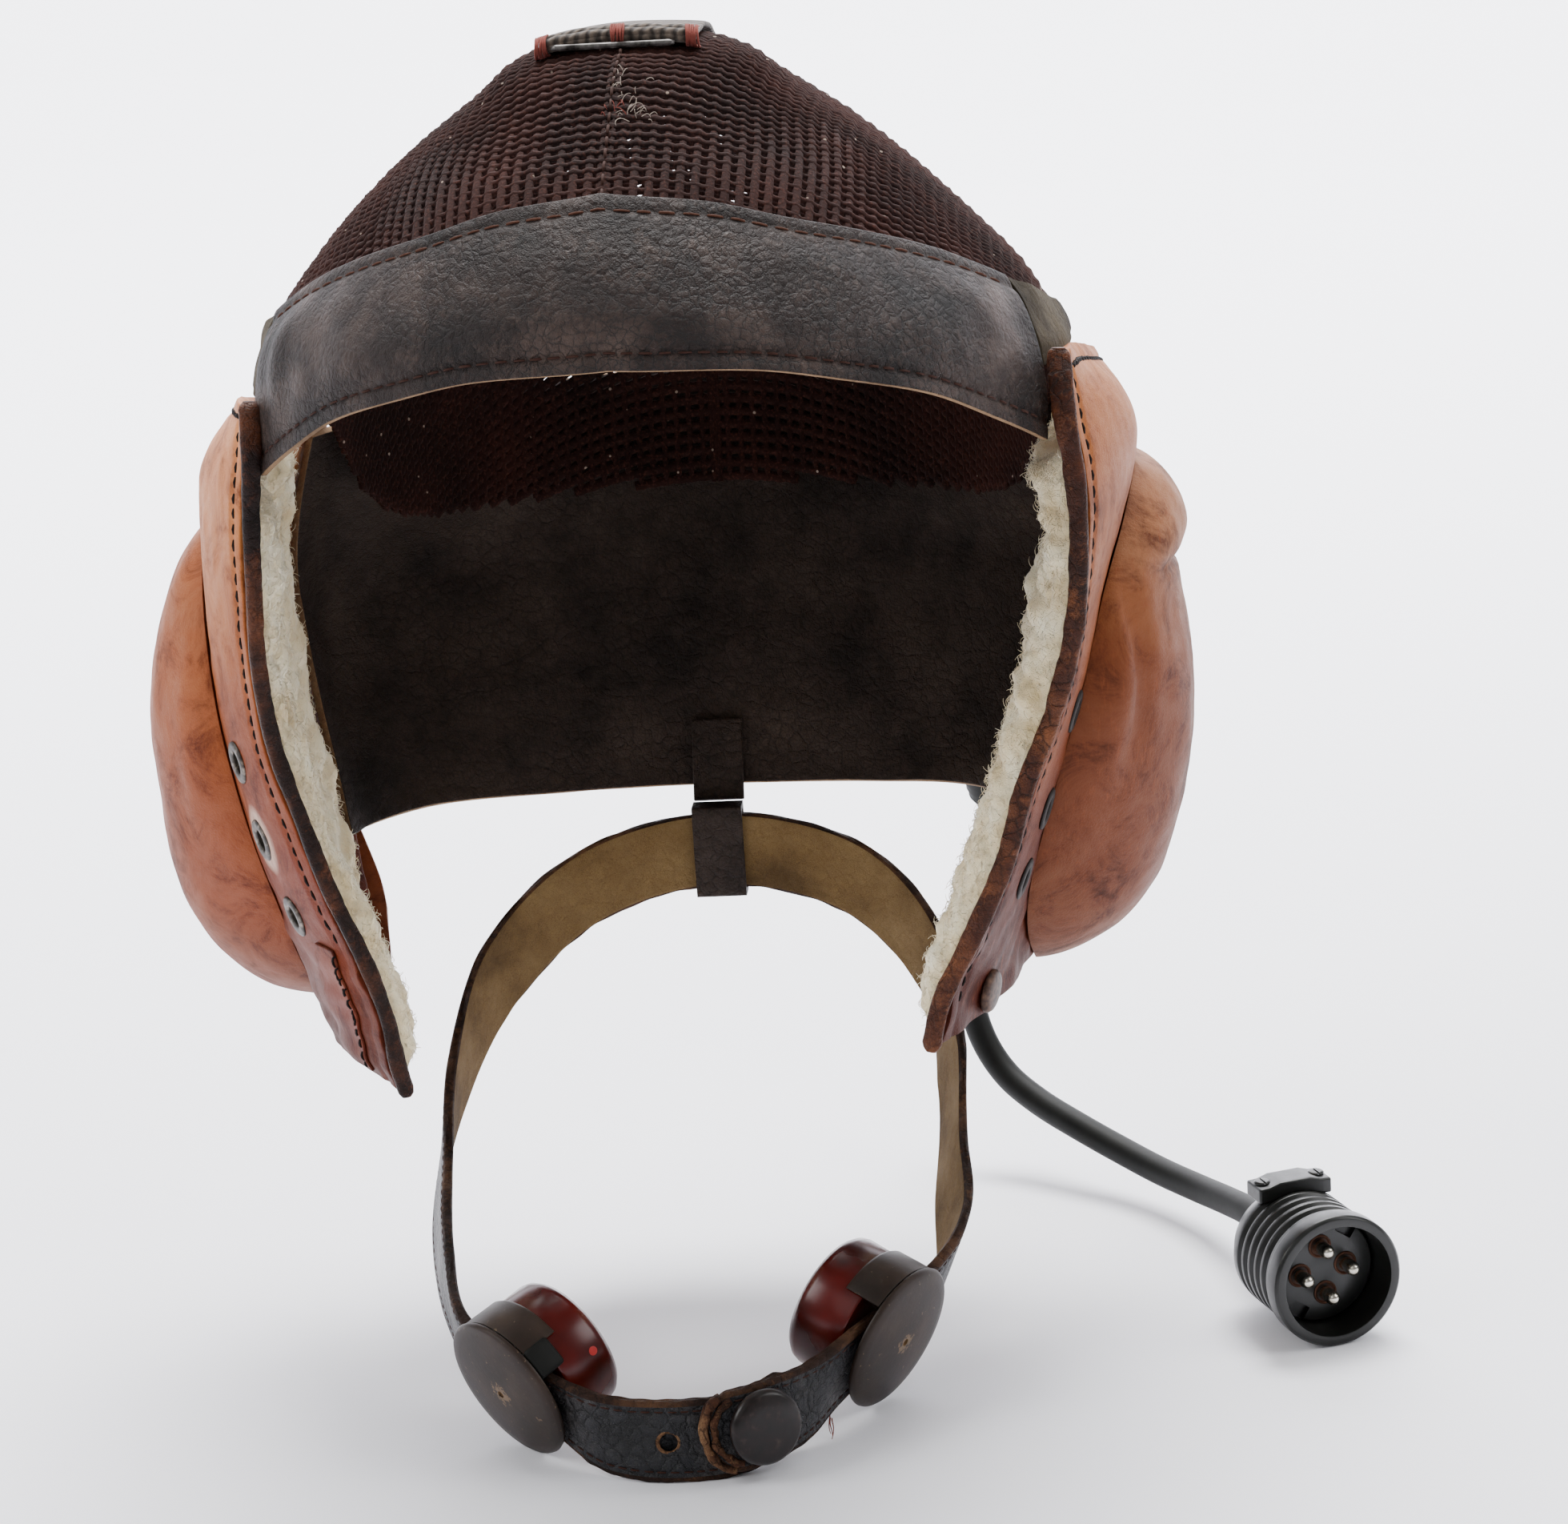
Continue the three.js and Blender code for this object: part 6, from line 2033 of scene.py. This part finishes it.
# Loose ends of sewing thread hang from the strap's lower edge beside the wearer's left microphone.
loose = []
middle, along, width, normal = (part[0] for part in strap_frame(21.35))
for k in range(3):
    shares = np.linspace(0, 1, 14)
    curl = 0.7 * np.sin(shares * (3.0 + k) + k)
    fall = middle - width * (8.6 + 0 * shares)[:, None] + normal * (1.0 + 0.4 * k)
    fall = fall - UP * (shares * (4.2 + 0.8 * k))[:, None] + along * (curl + 0.9 * k * shares)[:, None]
    loose.append((fall, normal, 0.14 * (1.1 - 0.5 * shares), 0.14 * (1.1 - 0.5 * shares)))
loose_ends = strands("strap_loose_ends", loose, 5)
loose_ends.data.materials.append(salmon_thread)
hand_over(loose_ends, "dark_leather")

# Keeper. One plain leather loop round the strap at the nape, with a tab inside the nape panel.
low, high = (np.array(corner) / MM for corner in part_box("strap_keeper"))
keeper_middle = strap_frame(12.5)[0][0]
room_y, room_z = STRAP_THICKNESS / 2 + 0.6, STRAP_WIDTH / 2 + 0.6
loop_height = 2 * (room_z + 1.6)
loop_rings = []
for turn in np.linspace(0, 2 * math.pi, 97)[:-1]:
    c, s = math.cos(turn), math.sin(turn)
    power = 0.16
    y = math.copysign(abs(c) ** power, c)
    z = math.copysign(abs(s) ** power, s)
    inner = keeper_middle + np.array([0, y * room_y, z * room_z])
    outer = keeper_middle + np.array([0, y * (room_y + 1.5), z * (room_z + 1.5)])
    ring = []
    for x, share in (
        (-5.9, 0), (-5.7, 0.12), (5.7, 0.12), (5.9, 0), (5.9, 0), (5.9, 1), (5.7, 1), (-5.7, 1), (-5.9, 1)
    ):
        ring.append(inner + (outer - inner) * share + np.array([x, 0, 0]))
    loop_rings.append(ring)
loop_rings.append(loop_rings[0])
loop = rim_sections("keeper", loop_rings, nape_leather)


def tab_place(across, share):
    bottom = -keeper_middle[2] - loop_height / 2 + 1
    down = bottom - 18 * (1 - share)
    behind = smooth(HEAD, "down", down, "back") + NAPE_LIFT - PANEL_THICKNESS - 0.3
    return np.stack([12 * (across - 0.5), behind, -down], -1)


tab = sewn_sheet("keeper_tab", 10, 24, tab_place, 1.6, (0, 0, -190), bevel=0.3)
finish_sheet(tab, nape_leather)
keeper = join("keeper", loop, tab)
hand_over(keeper, "dark_leather", "strap_keeper")

# Snap. A large domed cap in dark brown enamel with a rolled rim, flecked paler where it is worn.
snap = turned(
    "snap", [
        (7.4, 0.05), (8.1, 0.3), (8.3, 0.9), (8.2, 1.7), (7.8, 2.3), (7.2, 2.7), (4.0, 2.95), (0.5, 3.05)
    ], 72, 0
)
snap.data.materials.append(dark_enamel)
shade(snap, 50)
middle, along, width, normal = (part[0] for part in strap_frame(23))
set_down(snap, middle + normal * (STRAP_THICKNESS / 2 + 0.4), normal, width)
hand_over(snap, "disc_paint", "snap_cap")

# Throat microphones. On each side of the throat a pressed steel disc in grey-brown paint covers the
# strap outside, its skirt bends over the strap's top edge, and a dark red Bakelite capsule sits inside.
MIC_RADIUS = 17.0
MIC_DEPTH = 14.0
DOT_TURN = 300
DOT_DEPTH = 11.5


def painted_steel(name, centre):
    """Grey-brown stoved paint, mottled and chipped, and rubbed through to brass round one place."""
    paint, shader = new_material(name, Base_Color="#33261c", Roughness=0.46, Specular_IOR_Level=0.24)
    place = add_node(paint, "TexCoord")
    mottle = add_node(paint, "TexNoise", {"Vector": place.outputs["Object"], "Scale": 90.0, "Detail": 7.0})
    tint = add_node(
        paint, "ValToRGB", {"Fac": mottle.outputs["Fac"]}, [
            (0.3, "#1c130e"), (0.55, "#281c15"), (0.75, "#382a20")
        ]
    )
    chips = add_node(
        paint, "TexNoise", {
            "Vector": place.outputs["Object"], "Scale": 700.0, "Detail": 8.0, "Roughness": 0.7
        }
    )
    bare = add_node(paint, "MapRange", {"Value": chips.outputs["Fac"], "From Min": 0.64, "From Max": 0.7})
    worn = add_node(
        paint, "Mix", {0: bare.outputs["Result"], 6: tint.outputs["Color"], 7: "#7f7466"}, data_type="RGBA"
    )
    away = add_node(
        paint, "VectorMath", {0: place.outputs["Object"], 1: tuple(centre * MM)}, operation="DISTANCE"
    )
    near = add_node(
        paint, "MapRange", {
            "Value": away.outputs["Value"], "From Min": 0.004, "From Max": 0.001, "To Max": 0.26
        }
    )
    both = add_node(paint, "Math", {0: near.outputs["Result"], 1: chips.outputs["Fac"]}, operation="ADD")
    brassy = add_node(paint, "MapRange", {"Value": both.outputs[0], "From Min": 0.64, "From Max": 0.68})
    rubbed = add_node(
        paint, "Mix", {0: brassy.outputs["Result"], 6: worn.outputs[2], 7: "#6a543c"}, data_type="RGBA"
    )
    give(paint, shader, "Base Color", rubbed.outputs[2])
    dents = add_node(paint, "Bump", {"Height": chips.outputs["Fac"], "Strength": 0.15, "Distance": 0.0003})
    give(paint, shader, "Normal", dents.outputs["Normal"])
    return paint


red_bakelite, shader = new_material(
    "dark_red_bakelite", Base_Color="#4a0a06", Roughness=0.26, Specular_IOR_Level=0.36
)
shader.inputs["Subsurface Weight"].default_value = 0.15
shader.inputs["Subsurface Radius"].default_value = (1.0, 0.15, 0.08)
shader.inputs["Subsurface Scale"].default_value = 0.002
place = add_node(red_bakelite, "TexCoord")
cloud = add_node(red_bakelite, "TexNoise", {"Vector": place.outputs["Object"], "Scale": 60.0, "Detail": 3.0})
tint = add_node(
    red_bakelite, "ValToRGB", {"Fac": cloud.outputs["Fac"]}, [(0.35, "#2c0503"), (0.65, "#550c07")]
)
give(red_bakelite, shader, "Base Color", tint.outputs["Color"])

for name, station in (("left", 20), ("right", 5)):
    middle, along, width, normal = (part[0] for part in strap_frame(station))
    front = STRAP_THICKNESS / 2 + 0.3 + 0.9
    disc_paint = painted_steel("grey_brown_stoved_paint_" + name, middle + normal * (front + 3))
    disc = turned(
        "mic_plate_" + name,
        [
            (16.3, 0),
            (16.85, 0.15),
            (17.0, 0.6),
            (16.8, 1.15),
            (16.2, 1.6),
            (14, 2.0),
            (11, 2.4),
            (6, 2.85),
            (1.4, 3.0)
        ],
        96,
        0,
    )
    bpy.ops.mesh.primitive_cylinder_add(vertices=24, radius=0.9, depth=2.0, location=(0, 0, 0))
    centre = bpy.context.active_object
    centre.data.transform(Matrix.Translation((0, 0, 3.3)))
    cut_away(disc, centre)
    disc.data.materials.append(disc_paint)
    shade(disc, 40)
    set_down(disc, middle + normal * front, normal, width)
    hand_over(disc, "disc_paint", "mic_disc_" + name)

    skirt_rings = []
    ends = (-50, 29) if station == 20 else (-29, 50)
    for turn in np.radians(np.linspace(*ends, 44)):
        ring = []
        for radius, height in (
            (16.6, 0.9), (16.6, -1.8), (16.4, -7.4), (15.9, -8.2), (15.7, -7.4), (15.7, 0.7)
        ):
            ring.append((radius * math.cos(turn), radius * math.sin(turn), height + front - 0.4 - 0.75))
        skirt_rings.append(ring)
    skirt = rim_sections("mic_skirt_" + name, skirt_rings, disc_paint)
    skirt.data.transform(Matrix.Scale(1 / MM, 4))
    set_down(skirt, middle, normal, width)
    soften_edges(skirt, 0.15 * MM, 2, 40)
    hand_over(skirt, "disc_paint", "mic_band_" + name)

    radius = MIC_RADIUS - 1.6
    capsule = turned(
        "mic_body_" + name,
        [
            (radius - 0.3, -0.3),
            (radius, -0.8),
            (radius, -MIC_DEPTH + 3.0),
            (radius - 0.35, -MIC_DEPTH + 1.7),
            (radius - 1.3, -MIC_DEPTH + 0.6),
            (radius - 3.0, -MIC_DEPTH + 0.05),
            (radius - 6.0, -MIC_DEPTH),
            (1.0, -MIC_DEPTH),
        ],
        96,
        0,
    )
    capsule.data.materials.append(red_bakelite)
    shade(capsule, 50)
    set_down(capsule, middle - normal * (STRAP_THICKNESS / 2 + 1.2), normal, width)
    hand_over(capsule, "bakelite", "mic_capsule_" + name)

# A small black rubber lug stands beside the wearer's right microphone, and its capsule has a dot of
# red paint on its side.
bpy.ops.mesh.primitive_cube_add(size=1)
lug = bpy.context.active_object
lug.name = "mic_lug"
lug.data.transform(Matrix.Diagonal((5.0, 7.0, 6.5, 1)))
soften_edges(lug, 0.9, 3)
lug.data.materials.append(black_rubber)
middle, along, width, normal = (part[0] for part in strap_frame(5))
turn = math.radians(-39)
round_way = width * math.cos(turn) + np.cross(normal, width) * math.sin(turn)
set_down(lug, middle + round_way * 14.6 - normal * 1.0, normal, round_way)
hand_over(lug, "rubber")
red_paint, shader = new_material("red_marking_paint", Base_Color="#a8120c", Roughness=0.5)
dot = turned("capsule_dot", [(1.0, -0.1), (1.0, 0.06), (0.8, 0.1)], 24, 0)
dot.data.materials.append(red_paint)
middle, along, width, normal = (part[0] for part in strap_frame(5))
turn = math.radians(DOT_TURN)
round_way = width * math.cos(turn) + np.cross(normal, width) * math.sin(turn)
set_down(dot, middle - normal * DOT_DEPTH + round_way * 15.4, round_way, normal)
hand_over(dot, "bakelite")

# Lead sleeve. A tapered rubber sleeve with a round foot, moulded to the nape where the lead leaves.
gland_seat = nape_spots(np.array([0.26]), np.array([172.0]), 0.0)[0]
gland_run = nape_spots(np.array([0.2601]), np.array([172.0]), 0.0)[0] - gland_seat
gland_fall = nape_spots(np.array([0.26]), np.array([173.0]), 0.0)[0] - gland_seat
gland_out = as_unit(np.cross(gland_fall, gland_run))
gland_out *= np.sign(gland_out[1])
foot = turned("foot", [(9.5, 0.1), (9.5, 1.9), (9.0, 2.6), (8.0, 2.9)], 64, 0)
foot.data.materials.append(black_rubber)
set_down(foot, gland_seat, gland_out, UP)
taper = turned(
    "sleeve", [(6.0, -1.0), (6.2, 1.5)] + [
        (6.1 - 0.065 * h + (0.28 if k % 2 else -0.12), h) for k, h in enumerate(np.arange(5, 25, 1.3))
    ] + [(4.5, 25.2), (4.2, 26.0)], 64, 0
)
taper.data.materials.append(black_rubber)
set_down(taper, gland_seat, (0.12, 0.5, -0.85), (1, 0, 0))
bpy.ops.mesh.primitive_cube_add(size=1)
inside_wall = bpy.context.active_object
inside_wall.data.transform(Matrix.Translation((0, 0, -19.9)) @ Matrix.Diagonal((40, 40, 40, 1)))
set_down(inside_wall, gland_seat, gland_out, UP)
cut_away(taper, inside_wall)
gland = join("lead_sleeve", foot, taper)
shade(gland, 40)
hand_over(gland, "rubber", "cord_gland")
